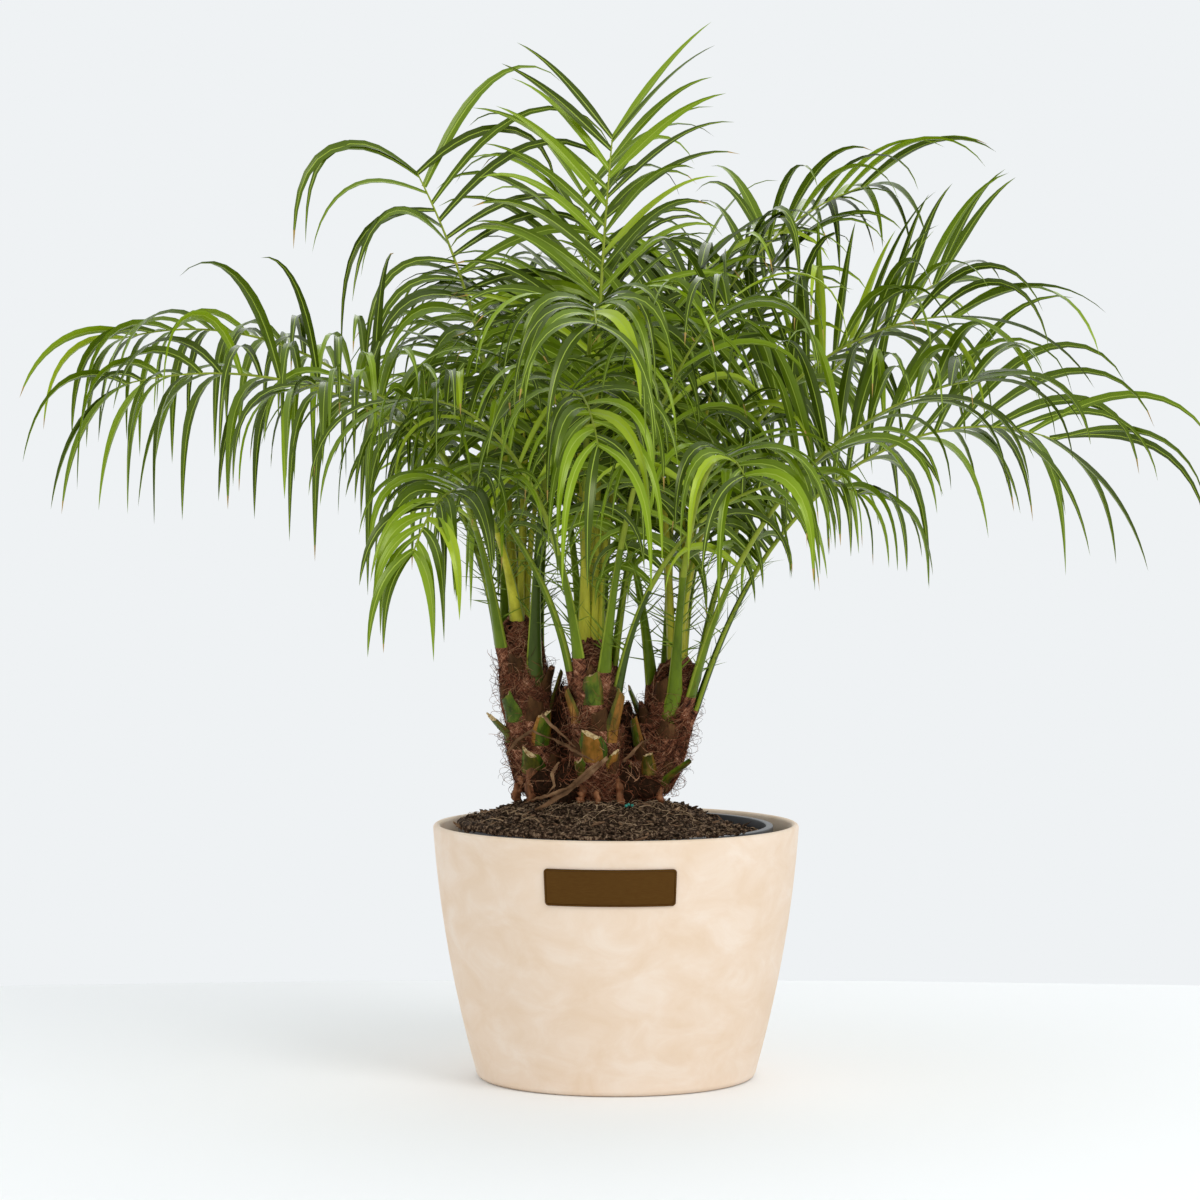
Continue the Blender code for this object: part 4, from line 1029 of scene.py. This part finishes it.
@dataclass
class Foliage:
    """All leaflets, ribs and spines of one stem's fronds, grown by the solids' rule."""
    stem: str
    pitch: float = 0.0080
    leaflet_width: float = 0.0080
    midrib_width: float = 0.0009
    thickness: float = 0.0005
    fold: float = 0.20
    steps: int = 12
    splay_at_base: float = 68.0
    splay_at_tip: float = 38.0
    lift_at_base: float = 42.0
    lift_at_tip: float = 26.0
    spine_length: float = 0.040
    spine_count: int = 22
    spear_count: int = 5
    clasp_length: float = 0.038

    def reach(self, share: float) -> float:
        """Return leaflet length along the frond as a share of the longest one."""
        growing = min(1.0, 0.55 + 1.6 * share)
        return growing * (1.0 - 0.20 * max(0.0, share - 0.3) / 0.7)

    def leaflet(self, stock: MeshStock, frond: Frond, station: Station, side: int, share: float,
                rng: random.Random) -> None:
        """Grow one folded, tapering, sagging leaflet as a thin closed blade.

        Args:
            stock: Mesh that takes the blade.
            frond: The frond's sizes.
            station: Where the leaflet leaves the rib.
            side: -1 or 1.
            share: Place between the first and last leaflet.
            rng: Seeded random numbers.
        """
        splay = (self.splay_at_base + (self.splay_at_tip - self.splay_at_base) * share) * frond.splay
        stray = 1.0 - frond.firm * share ** 4
        splay = math.radians(min(splay + rng.gauss(0, 7) * stray, 84.0))
        lift = math.radians(self.lift_at_base + (self.lift_at_tip - self.lift_at_base) * share
                            + rng.gauss(0, 10) * stray)
        out = station.across * (side * math.cos(lift)) + station.upper * math.sin(lift)
        forward = (station.tangent * math.cos(splay) + out * math.sin(splay)).normalized()
        length = frond.leaf * self.reach(share) * rng.uniform(0.82, 1.04)
        limp = frond.limp * stray * rng.uniform(0.6, 1.35)
        wide = station.tangent
        width = self.leaflet_width * rng.uniform(0.78, 1.20)
        twist = math.radians(rng.gauss(0, 28))
        centre = station.point.copy()
        rings = []
        for step in range(self.steps + 1):
            along = step / self.steps
            if step:
                middle = along - 0.5 / self.steps
                forward = sag(forward, limp * (frond.late + 1) * middle ** frond.late / self.steps)
                centre = centre + forward * (length / self.steps)
            wide = (wide - forward * wide.dot(forward)).normalized()
            turned = Matrix.Rotation(twist * along, 3, forward) @ wide
            under = forward.cross(turned).normalized()
            if under.dot(station.upper) > 0:
                under = -under
            if step == self.steps:
                rings.append([centre.copy()])
                continue
            grow = min(1.0, 0.50 + along * 1.9) * min(1.0, (1.0 - along) / 0.58) ** 0.85
            half = width * grow / 2
            rise = half * self.fold
            body = self.thickness * (0.55 + 0.45 * grow)
            vein = turned * (min(self.midrib_width, width * 0.3) * (1.0 - 0.6 * along) / 2)
            crease = centre + under * rise * 0.6
            rings.append([centre - turned * half - under * rise, crease - vein, crease + vein,
                          centre + turned * half - under * rise, crease + under * body + vein,
                          crease + under * body - vein])
        stock.add_tube(rings, self.paints(rng, frond))

    def paints(self, rng: random.Random, frond: Frond) -> list[tuple[int, ...]]:
        """Return material numbers for the six sides of each stretch, with some ends dry."""
        # a higher share leans to the brighter tints: painted light on the fronds that face the front, and the
        # yellow-green of new growth
        mature, young = (30, 32, 23, 11, 4), (6, 16, 28, 32, 18)
        weights = [a + (b - a) * frond.young for a, b in zip(mature, young)]
        tone = rng.choices(range(5), weights=weights)[0]
        vein = list(Tint).index(Tint.MIDRIB)
        dry = list(Tint).index(Tint.DRY)
        numbers = [(tone, vein, tone, tone, vein, tone)] * self.steps
        if rng.random() < 0.14:
            numbers[-1:] = [(dry,) * 6]
        return numbers

    def build(self) -> None:
        """Grow the stem's leaflets, ribs and spines as three joined pieces."""
        leaves, ribs, spines = MeshStock(), MeshStock(), MeshStock()
        number = 0
        for frond in FRONDS:
            if frond.stem != self.stem:
                continue
            number += 1
            rng = random.Random(SEED * 7919 + hash_name(self.stem) + number * 101)
            stations = rib_stations(frond)
            self.rib(ribs, frond, stations)
            leafy = frond.length * (1.0 - frond.petiole)
            count = round(leafy / self.pitch)
            for place in range(count):
                share = (place + 0.5) / count
                at = frond.petiole + (1.0 - frond.petiole) * share
                station = stations[round(at * (len(stations) - 1))]
                self.leaflet(leaves, frond, station, 1 if place % 2 else -1, share, rng)
            for side in (-1, 1):
                self.leaflet(leaves, frond, stations[-1], side, 1.0, rng)
            self.spines(spines, frond, stations, rng)
        self.spears(ribs, random.Random(SEED + hash_name(self.stem)))
        nodes = [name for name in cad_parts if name.startswith("frond_" + self.stem)]
        piece = leaves.make("leaflets_" + self.stem)
        finish_piece(piece, [LeafTissue(tint).build() for tint in Tint], nodes, angle=50)
        piece = ribs.make("ribs_" + self.stem)
        finish_piece(piece, [PETIOLE_DARK.build(), PETIOLE_MID.build(), NEW_GROWTH.build(), RIB_GREEN.build(),
                             SHEATH.build()], [], angle=60)
        piece = spines.make("spines_" + self.stem)
        finish_piece(piece, [SPINE_STRAW.build()], [], angle=60)

    def rib(self, stock: MeshStock, frond: Frond, stations: list[Station]) -> None:
        """Skin a rib: a base that clasps the trunk, a channelled petiole and a slender tip."""
        trunk = TRUNKS[frond.stem]
        seat = frond.heading + frond.turn
        root_share = max(0.04, 1.0 - (frond.drop + self.clasp_length) / trunk.height())
        root = trunk.axis(root_share) + direction(90, seat) * (trunk.radius(root_share) * 0.80)
        tone = 2 if frond.drop < 0.004 else 1 if frond.drop < 0.027 else 0
        rings = []
        paints = []
        steps = 7
        first = stations[0]
        for step in range(steps):
            part = step / steps
            centre = root.lerp(first.point, part)
            across = sideways(seat).lerp(first.across, part).normalized()
            tangent = (first.point - root).normalized().lerp(first.tangent, part).normalized()
            upper = tangent.cross(across).normalized()
            width = 0.0175 + (0.0130 - 0.0175) * part
            rings.append(bent_section(centre, across, -upper, width, 0.0062, 1.0 - 0.6 * part))
            below = (first.point - root).length * (1.0 - part)
            paints.append(margined(min(tone, 1)) if -below >= frond.green_from - 0.002 else 4)
        last = len(stations) - 1
        for step in range(0, last + 1, 2):
            share = step / last
            station = stations[step]
            if share < frond.petiole:
                part = share / frond.petiole
                width = 0.0056 + (0.0130 - 0.0056) * (1.0 - part) ** 2.2
                depth = 0.0042 + (0.0064 - 0.0042) * (1.0 - part)
            else:
                part = (share - frond.petiole) / (1 - frond.petiole)
                width = 0.0056 + (0.0012 - 0.0056) * part ** 0.8
                depth = 0.0042 + (0.0011 - 0.0042) * part ** 0.8
            clasp = max(0.0, 0.4 - share * 3)
            rings.append(bent_section(station.point, station.across, -station.upper, width, depth, clasp))
            brown = share * frond.length < frond.green_from
            paints.append(4 if brown else margined(tone) if share < frond.petiole * 0.95 else 3)
        stock.add_tube(rings, paints[:-1])

    def spears(self, stock: MeshStock, rng: random.Random) -> None:
        """Stand the folded new leaves upright in a tight bundle at the stem's tip."""
        trunk = TRUNKS[self.stem]
        for number in range(self.spear_count):
            turn = 360 * number / self.spear_count + rng.uniform(-20, 20)
            point = trunk.axis(0.97) + direction(90, turn) * 0.0052
            lean = rng.uniform(0.5, 2.5)
            length = rng.uniform(0.15, 0.30)
            path = []
            steps = 10
            for step in range(steps + 1):
                path.append(point.copy())
                point = point + direction(lean, turn) * (length / steps)
                lean += rng.uniform(0.2, 1.4)
            stock.add_tube(tube_rings(path, 0.0036, 0.0010, 8), 2)

    def spines(self, stock: MeshStock, frond: Frond, stations: list[Station], rng: random.Random) -> None:
        """Set long thin spines unevenly along both edges of the petiole."""
        for place in range(self.spine_count):
            at = frond.petiole * rng.uniform(0.16, 1.05)
            station = stations[round(at * (len(stations) - 1))]
            side = rng.choice((-1, 1))
            splay = math.radians(rng.uniform(30, 85))
            out = (station.across * side + station.upper * rng.uniform(-0.5, 0.9)).normalized()
            forward = (station.tangent * math.cos(splay) + out * math.sin(splay)).normalized()
            length = self.spine_length * rng.uniform(0.35, 1.25) * (0.6 + 0.6 * at / frond.petiole)
            root = station.point + station.across * (side * 0.0018)
            wide = forward.cross(station.upper).normalized() * 0.0007
            deep = forward.cross(wide).normalized() * 0.0006
            bend = Vector((0, 0, -1)) * length * rng.uniform(-0.03, 0.04)
            middle = root + forward * (length * 0.5) - bend * 0.5
            rings = [[root - wide, root + wide, root + deep],
                     [middle - wide * 0.65, middle + wide * 0.65, middle + deep * 0.65],
                     [root + forward * length]]
            stock.add_tube(rings, 0)


def margined(tone: int) -> tuple[int, ...]:
    """Return material numbers round a petiole's twelve sides: a tone with pale margins."""
    return tuple(3 if side in (0, 5, 6, 11) else tone for side in range(12))


def bent_section(centre: Vector, across: Vector, outward: Vector, width: float, depth: float,
                 clasp: float, sides: int = 12) -> list[Vector]:
    """Section of a leaf base or petiole: an oval that bends round the trunk.

    Args:
        centre: Centre of the section.
        across: Unit vector along its width.
        outward: Unit vector away from the trunk.
        width: Width of the section.
        depth: Thickness at its middle.
        clasp: 0 for a straight oval, 1 for one that follows the trunk's curve.
        sides: Corners of the section.

    Returns:
        The corner points.
    """
    points = []
    for step in range(sides):
        angle = 2 * math.pi * step / sides
        x = math.cos(angle) * width / 2
        y = math.sin(angle) * depth / 2 - clasp * x * x / (2 * 0.014)
        points.append(centre + across * x + outward * y)
    return points


def hash_name(name: str) -> int:
    """Return a small number that depends only on a name's letters."""
    return sum((position + 1) * ord(letter) for position, letter in enumerate(name))


@dataclass
class StemBark:
    """One trunk with its fibre matting, cut leaf bases, loose fibres and aerial roots."""
    stem: str
    sides: int = 72
    rings: int = 90
    mat_fibres: int = 3600
    loose_fibres: int = 900
    root_knobs: int = 4
    old_bases: int = 13
    sheath_length: float = 0.020
    stand_out: float = 0.0012
    rim_rise: float = 0.016
    # stout roots seen at the front, as (stem, x, z of the top, radius)
    front_roots: tuple[tuple[str, float, float, float], ...] = (
        ("left", -0.0600, 0.2520, 0.0052), ("left", -0.0690, 0.2440, 0.0044), ("left", -0.0490, 0.2420, 0.0040),
        ("middle", -0.0240, 0.2400, 0.0032), ("middle", -0.0140, 0.2370, 0.0030),
        ("middle", -0.0010, 0.2450, 0.0034), ("right", 0.0080, 0.2400, 0.0030),
        ("right", 0.0260, 0.2380, 0.0030))

    def build(self) -> None:
        """Make the trunk, its cut leaf bases and its fibres."""
        trunk = TRUNKS[self.stem]
        rng = random.Random(SEED + hash_name(self.stem))
        stock = MeshStock()
        rings = []
        for level in range(self.rings + 1):
            share = level / self.rings
            centre = trunk.axis(share)
            row = []
            for step in range(self.sides):
                turn = 2 * math.pi * step / self.sides
                out = Vector((math.cos(turn), math.sin(turn), 0))
                point = centre + out * trunk.radius(share)
                rough = noise.fractal(Vector((point.x * 150, point.y * 150, point.z * 80)), 0.8, 2.0, 4)
                lump = noise.noise(Vector((math.cos(turn) * 1.6, math.sin(turn) * 1.6, point.z * 45)))
                # torn rims of old sheaths wind up the trunk
                wind = (point.z / self.rim_rise - 2 * turn / (2 * math.pi)
                        + 0.35 * noise.noise(Vector((math.cos(turn) * 3, math.sin(turn) * 3, point.z * 60))))
                rim = (wind % 1.0) ** 2.5
                row.append(point + out * (rough * 0.0018 + lump * 0.0030 + rim * 0.0026 - 0.0006))
            rings.append(row)
        rings.insert(0, [corner - Vector((0, 0, 0.006)) for corner in rings[0]])
        tip = trunk.axis(1.0)
        for narrow, lift in ((0.85, 0.003), (0.62, 0.007), (0.35, 0.010)):
            rings.append([tip.lerp(corner, narrow) + Vector((0, 0, lift)) for corner in rings[self.rings + 1]])
        stock.add_tube(rings, 0)
        piece = stock.make("trunk_" + self.stem)
        finish_piece(piece, [SHEATH.build()], ["stem_" + self.stem], angle=70)
        self.build_bases(rng)
        self.build_fibres(rng)
        self.build_knobs(rng)

    def build_bases(self, rng: random.Random) -> None:
        """Make the cut leaf bases: a fibrous sheath, then the base, then a slanting pale end."""
        stock = MeshStock()
        for stub in STUBS:
            if stub.stem == self.stem:
                self.base(stock, stub, rng, 4)
        trunk = TRUNKS[self.stem]
        # older bases wind up the trunk, dried and torn short
        for number in range(self.old_bases):
            height = trunk.height() * (0.06 + 0.72 * number / self.old_bases)
            self.base(stock, Stub(self.stem, height, 137.5 * number + 40, rng.uniform(8, 20),
                                  rng.uniform(0.010, 0.020), rng.uniform(0.013, 0.019), Tone.BROWN,
                                  Tone.BROWN), rng, 5)
        piece = stock.make("leaf_bases_" + self.stem)
        finish_piece(piece, [GREEN_BASE.build(), OLIVE_BASE.build(), ORANGE_BASE.build(), BROWN_BASE.build(),
                             CUT_FACE.build(), SHEATH.build()], [], angle=50)

    def base(self, stock: MeshStock, stub: Stub, rng: random.Random, face: int) -> None:
        """Add one cut leaf base.

        Args:
            stock: Mesh that takes it.
            stub: Its place and size.
            rng: Seeded random numbers.
            face: Material number of its cut end.
        """
        trunk = TRUNKS[stub.stem]
        share = stub.height / trunk.height()
        out = direction(90, stub.heading)
        across = sideways(stub.heading)
        root = trunk.axis(share) + out * (trunk.radius(share) + self.stand_out)
        sheath = min(self.sheath_length, stub.height)
        low = max(0.0, share - sheath / trunk.height())
        foot = trunk.axis(low) + out * (trunk.radius(low) - 0.0010)
        rings = []
        wraps = 4
        for step in range(wraps):
            part = step / wraps
            ring = bent_section(foot.lerp(root, part), across, out, stub.width * (1.15 + 0.20 * part),
                                stub.width * (0.20 + 0.34 * part), 1.0, 16)
            rings.append([corner + out * (0.0016 * noise.fractal(corner * 240, 0.8, 2.0, 3))
                          for corner in ring])
        point = root
        steps = 9
        for step in range(steps + 1):
            part = step / steps
            along = direction(stub.lean * min(1.0, 0.3 + part * 1.8), stub.heading)
            outward = across.cross(along).normalized()
            width = stub.width * (1.12 - 0.46 * part ** 2.0)
            depth = stub.width * (0.40 - 0.16 * part)
            ring = bent_section(point, across, outward, width, depth, 1.0 - 0.25 * part, 16)
            for number, corner in enumerate(ring):
                corner += outward * noise.noise(Vector((number * 1.7, stub.heading, part * 3))) * 0.0006
            rings.append(ring)
            point = point + along * (stub.length / steps)
        centre = sum(rings[-1], Vector()) / len(rings[-1])
        slant = rng.uniform(-0.20, 0.40)
        tilt = rng.choice((-1, 1)) * rng.uniform(0.35, 1.0)
        for corner in rings[-1]:
            lift = -(corner - centre).dot(outward) * slant - (corner - centre).dot(across) * tilt
            corner += along * (lift + rng.uniform(-0.0010, 0.0012))
        sides = len(rings[0])
        flank = sides // 7
        tones = tuple(stub.edge.value if side % (sides // 2) < flank or side >= sides // 2 - flank
                      else stub.tone.value for side in range(sides))
        stock.add_tube(rings, [5] * wraps + [tones] * steps, cap_end=False)
        middle = centre - along * 0.0007
        stock.add_tube([[corner.copy() for corner in rings[-1]], [middle]], face, cap_start=False)

    def mat_path(self, rng: random.Random) -> list[Vector]:
        """Return a fibre that follows the trunk's surface at a slant."""
        trunk = TRUNKS[self.stem]
        turn = rng.uniform(0, 2 * math.pi)
        share = rng.uniform(0.03, 0.99)
        slant = math.radians(rng.choice((-1, 1)) * rng.gauss(38, 16))
        steps = rng.randint(6, 10)
        stride = rng.uniform(0.0018, 0.0030)
        rise = rng.uniform(0.0004, 0.0038)
        curl = rng.uniform(-0.16, 0.16)
        path = []
        for step in range(steps):
            radius = trunk.radius(max(0.0, min(1.0, share))) + rise
            rise += rng.uniform(-0.0003, 0.0006)
            centre = trunk.axis(max(0.0, min(1.0, share)))
            path.append(centre + Vector((math.cos(turn), math.sin(turn), 0)) * radius)
            turn += math.cos(slant) * stride / radius
            share += math.sin(slant) * stride / trunk.height()
            slant += curl + rng.uniform(-0.2, 0.2)
        return path

    def over_base(self, point: Vector) -> bool:
        """Tell whether a point lies in front of a cut leaf base, which the fibres leave bare."""
        trunk = TRUNKS[self.stem]
        for stub in STUBS:
            above = point.z - trunk.soil_level - stub.height
            if stub.stem != self.stem or not stub.length * 0.25 < above < stub.length:
                continue
            centre = trunk.axis((point.z - trunk.soil_level) / trunk.height())
            away = Vector((point.x - centre.x, point.y - centre.y, 0))
            if away.dot(direction(90, stub.heading)) > 0 and \
                    abs(away.dot(sideways(stub.heading))) < stub.width * 0.52:
                return True
        return False

    def loose_path(self, rng: random.Random) -> list[Vector]:
        """Return a curly fibre that stands off the trunk."""
        trunk = TRUNKS[self.stem]
        share = rng.uniform(0.05, 0.80)
        turn = rng.uniform(0, 2 * math.pi)
        out = Vector((math.cos(turn), math.sin(turn), 0))
        point = trunk.axis(share) + out * (trunk.radius(share) + rng.uniform(0.0, 0.002))
        heading_vector = (sideways(math.degrees(turn)) * rng.choice((-1, 1)) * rng.uniform(0.4, 1.0)
                          + Vector((0, 0, rng.uniform(-0.7, 0.8))) + out * rng.uniform(0.0, 0.6)).normalized()
        bend_axis = Vector((rng.uniform(-1, 1), rng.uniform(-1, 1), rng.uniform(-1, 1))).normalized()
        path = []
        stride = rng.uniform(0.0012, 0.0026)
        for step in range(rng.randint(7, 13)):
            path.append(point.copy())
            point = point + heading_vector * stride
            turn_by = Matrix.Rotation(rng.uniform(-0.1, 0.5), 3, bend_axis)
            heading_vector = (turn_by @ heading_vector).normalized()
            centre = trunk.axis(min(1.0, max(0.0, (point.z - trunk.soil_level) / trunk.height())))
            away = Vector((point.x - centre.x, point.y - centre.y, 0))
            if away.length > trunk.radius(share) + 0.010:
                heading_vector = (heading_vector - away.normalized() * 0.5).normalized()
            point.z = max(point.z, trunk.soil_level)
        return path

    def build_fibres(self, rng: random.Random) -> None:
        """Cover the trunk with slanting fibres and let some curl away."""
        stock = MeshStock()
        for number in range(self.mat_fibres):
            tone = rng.choices((0, 1, 2), weights=(25, 50, 25))[0]
            path = self.mat_path(rng)
            if any(self.over_base(point) for point in path) and rng.random() < 0.93:
                continue
            stock.add_tube(tube_rings(path, rng.uniform(0.20, 0.42) * MM, 0.14 * MM, 3), tone)
        for number in range(self.loose_fibres):
            tone = rng.choices((0, 1, 2), weights=(45, 40, 15))[0]
            stock.add_tube(tube_rings(self.loose_path(rng), rng.uniform(0.16, 0.32) * MM, 0.12 * MM, 3), tone)
        piece = stock.make("fibres_" + self.stem)
        finish_piece(piece, [FIBRE_DARK.build(), FIBRE_RED.build(), FIBRE_PALE.build()], [],
                     angle=60)

    def build_knobs(self, rng: random.Random) -> None:
        """Grow stout aerial roots from the trunk's foot down into the mix."""
        trunk = TRUNKS[self.stem]
        stock = MeshStock()
        for stem, x, top, radius in self.front_roots:
            if stem == self.stem:
                across = max(-0.95, min(0.95, (x - trunk.foot[0]) / trunk.foot_radius))
                self.knob(stock, math.asin(across) - math.pi / 2, top - trunk.soil_level, radius, rng)
        for number in range(self.root_knobs):
            self.knob(stock, rng.uniform(-0.1, math.pi + 0.1), rng.uniform(0.006, 0.024),
                      rng.uniform(0.0022, 0.0042), rng)
        piece = stock.make("aerial_roots_" + self.stem)
        finish_piece(piece, [ROOT_KNOB.build()], [], angle=60)

    def knob(self, stock: MeshStock, turn: float, top: float, radius: float, rng: random.Random) -> None:
        """Add one lumpy root.

        Args:
            stock: Mesh that takes it.
            turn: Side of the trunk it grows on, in radians.
            top: Height of its upper end above the soil.
            radius: Its radius.
            rng: Seeded random numbers.
        """
        trunk = TRUNKS[self.stem]
        out = Vector((math.cos(turn), math.sin(turn), 0))
        start = trunk.axis(top / trunk.height()) + out * (trunk.radius(top / trunk.height()) + 0.0015)
        path = []
        steps = 8
        for step in range(steps + 1):
            part = step / steps
            spread = out * (0.0042 * math.sin(part * 2.2))
            path.append(start + spread - Vector((0, 0, part * (top + 0.003)))
                        + Vector((noise.noise(start * 90 + Vector((part * 3, 0, 0))),
                                  noise.noise(start * 90 + Vector((0, part * 3, 9))), 0)) * 0.003)
        rings = tube_rings(path, radius, radius * rng.uniform(0.7, 0.9), 11)
        for ring_number, ring in enumerate(rings):
            centre = path[ring_number]
            for corner in ring:
                corner += (corner - centre) * (noise.noise(corner * 340) * 0.25 + noise.noise(corner * 110) * 0.4)
        stock.add_tube(rings, 0)


@dataclass
class Thatch:
    """Old matting, darkened near-black as painted shade in the gaps, and dry strips of leaf sheath that fill the
    clump between the trunks.
    """
    lumps: tuple[tuple[Point, Point], ...] = (
        ((-0.043, 0.010, 0.268), (0.014, 0.012, 0.050)), ((0.010, 0.012, 0.260), (0.014, 0.012, 0.042)),
        ((-0.036, -0.016, 0.240), (0.014, 0.013, 0.022)), ((0.006, -0.014, 0.240), (0.014, 0.013, 0.020)),
        ((-0.060, -0.004, 0.240), (0.014, 0.014, 0.014)), ((0.024, -0.006, 0.238), (0.015, 0.014, 0.012)))
    # strips seen at the front, as (x, z) places along each
    strips: tuple[tuple[tuple[float, float], ...], ...] = (
        ((-0.007, 0.265), (-0.030, 0.246), (-0.052, 0.230), (-0.072, 0.2215)),
        ((-0.089, 0.268), (-0.080, 0.279), (-0.068, 0.287), (-0.052, 0.280)),
        ((-0.060, 0.302), (-0.055, 0.294), (-0.043, 0.283), (-0.033, 0.274)),
        ((-0.052, 0.280), (-0.042, 0.276), (-0.030, 0.268), (-0.018, 0.262)),
        ((-0.014, 0.262), (-0.026, 0.252), (-0.040, 0.240), (-0.052, 0.234)),
        ((-0.040, 0.241), (-0.052, 0.236), (-0.064, 0.233), (-0.074, 0.230)),
        ((0.006, 0.262), (0.012, 0.268), (0.019, 0.276), (0.028, 0.281)),
        ((-0.046, 0.262), (-0.052, 0.252), (-0.050, 0.243), (-0.056, 0.236)))
    fibres: int = 900

    def build(self) -> None:
        """Make the lumps, their fibres and the strips."""
        rng = random.Random(SEED + 5)
        stock = MeshStock()
        fibres = MeshStock()
        for centre, size in self.lumps:
            middle = Vector(centre)
            rings = []
            for level in range(13):
                tilt = math.pi * level / 12 - math.pi / 2
                if level in (0, 12):
                    rings.append([middle + Vector((0, 0, math.copysign(size[2], tilt)))])
                    continue
                row = []
                for step in range(28):
                    turn = 2 * math.pi * step / 28
                    far = Vector((math.cos(turn) * math.cos(tilt) * size[0],
                                  math.sin(turn) * math.cos(tilt) * size[1], math.sin(tilt) * size[2]))
                    row.append(middle + far * (1 + 0.22 * noise.fractal((middle + far) * 90, 0.8, 2.0, 3)))
                rings.append(row)
            stock.add_tube(rings, 0)
            for number in range(self.fibres // len(self.lumps)):
                fibres.add_tube(tube_rings(self.curl(rng, middle, size), rng.uniform(0.2, 0.42) * MM,
                                           0.14 * MM, 3), rng.choice((0, 0, 1, 2)))
        # the lumps are darkened as painted shade between the trunks
        piece = stock.make("shaded_clump_matting")
        finish_piece(piece, [SHADE_DARK_MATTING.build()], [], angle=70)
        piece = fibres.make("old_matting_fibres")
        finish_piece(piece, [FIBRE_DARK.build(), FIBRE_RED.build(), FIBRE_PALE.build()], [],
                     angle=60)
        self.build_strips(rng)

    def curl(self, rng: random.Random, middle: Vector, size: Point) -> list[Vector]:
        """Return a fibre that winds over a lump."""
        turn, tilt = rng.uniform(0, 2 * math.pi), rng.uniform(-1.2, 1.2)
        turning, tilting = rng.uniform(-0.16, 0.16), rng.uniform(-0.12, 0.12)
        path = []
        for step in range(rng.randint(6, 11)):
            reach = 1.06 + 0.10 * rng.random()
            path.append(middle + Vector((math.cos(turn) * math.cos(tilt) * size[0],
                                         math.sin(turn) * math.cos(tilt) * size[1],
                                         math.sin(tilt) * size[2])) * reach)
            turn += turning + rng.uniform(-0.05, 0.05)
            tilt += tilting + rng.uniform(-0.05, 0.05)
        return path

    def build_strips(self, rng: random.Random) -> None:
        """Lay the dry strips over the front of the clump."""
        stock = MeshStock()
        for number, places in enumerate(self.strips):
            front = -0.040 - 0.002 * (number % 3)
            points = []
            for x, z in places:
                lean = 0.012 * max(0.0, (0.262 - z) / 0.04)
                points.append(Vector((x, front - lean, z)))
            path = []
            for first, second in zip(points, points[1:]):
                path += [first.lerp(second, step / 4) for step in range(4)]
            path.append(points[-1])
            rings = []
            for step, point in enumerate(path):
                before, after = path[max(0, step - 1)], path[min(len(path) - 1, step + 1)]
                tangent = (after - before).normalized()
                across = tangent.cross(Vector((0.1, -1.0, 0.3))).normalized()
                part = step / (len(path) - 1)
                broad = 0.0042 if number == 0 else 0.0022
                width = broad * (0.4 + 0.9 * math.sin(math.pi * min(1.0, part + 0.12))) * rng.uniform(0.8, 1.15)
                point = point + Vector((0, rng.uniform(-0.0008, 0.0008), rng.uniform(-0.0006, 0.0006)))
                out = Vector((0, -0.0007, 0))
                rings.append([point - across * width / 2, point + out, point + across * width / 2, point - out])
            stock.add_tube(rings, 0)
        piece = stock.make("dry_strips")
        finish_piece(piece, [DRY_STRIP.build()], [], angle=50)


@dataclass
class Studio:
    """Plain pale floor, soft light and the camera at the photograph's angle."""
    distance: float = 3.40
    eye_height: float = 0.54
    eye_side: float = -0.0131
    tilt: float = 2.51
    lens: float = 124.8
    floor_radius: float = 4.0
    floor_back: float = 0.58

    def build(self) -> None:
        """Set the camera, the floor, the lights and the world."""
        camera = bpy.data.objects.new("camera", bpy.data.cameras.new("camera"))
        bpy.context.scene.collection.objects.link(camera)
        camera.data.lens = self.lens
        camera.data.sensor_width = 36.0
        camera.location = (self.eye_side, -self.distance, self.eye_height)
        camera.rotation_euler = (math.radians(90 - self.tilt), 0, 0)
        bpy.context.scene.camera = camera
        deselect_all()
        bpy.ops.mesh.primitive_circle_add(vertices=96, radius=self.floor_radius, fill_type="NGON",
                                          location=(0, self.floor_back - self.floor_radius, 0))
        bpy.ops.object.transform_apply(location=True)
        floor = bpy.context.object
        floor.name = "floor"
        material, tree, shader = new_material("pale_studio_floor")
        shader.inputs["Base Color"].default_value = linear("#F1F2F2")
        shader.inputs["Roughness"].default_value = 0.8
        floor.data.materials.append(material)
        for name, place, size, power in (("key", (1.6, -2.2, 2.4), 1.4, 38.0),
                                         ("fill", (-2.2, -1.6, 1.5), 1.8, 5.0),
                                         ("back", (0.4, 2.2, 2.2), 1.8, 10.0)):
            light = bpy.data.objects.new(name, bpy.data.lights.new(name, "AREA"))
            light.data.size = size
            light.data.energy = power
            light.location = place
            aim = Vector((0, 0, 0.35)) - Vector(place)
            light.rotation_euler = aim.to_track_quat("-Z", "Y").to_euler()
            bpy.context.scene.collection.objects.link(light)
        world = bpy.data.worlds.new("studio")
        world.use_nodes = True
        world.node_tree.nodes["Background"].inputs["Color"].default_value = linear("#EFF2F4")
        world.node_tree.nodes["Background"].inputs["Strength"].default_value = 1.0
        bpy.context.scene.world = world
        bpy.context.scene.view_settings.view_transform = "Standard"


def main() -> None:
    """Build the sub-assemblies in order."""
    logging.basicConfig(level=logging.INFO, format="%(name)s: %(message)s")
    Studio().build()
    planter = Planter()
    planter.build()
    NamePlate().build(planter)
    GrowingPot().build()
    RootBall().build()
    for stem in TRUNKS:
        StemBark(stem).build()
        Foliage(stem).build()
    Thatch().build()


if __name__ == "__main__":
    main()
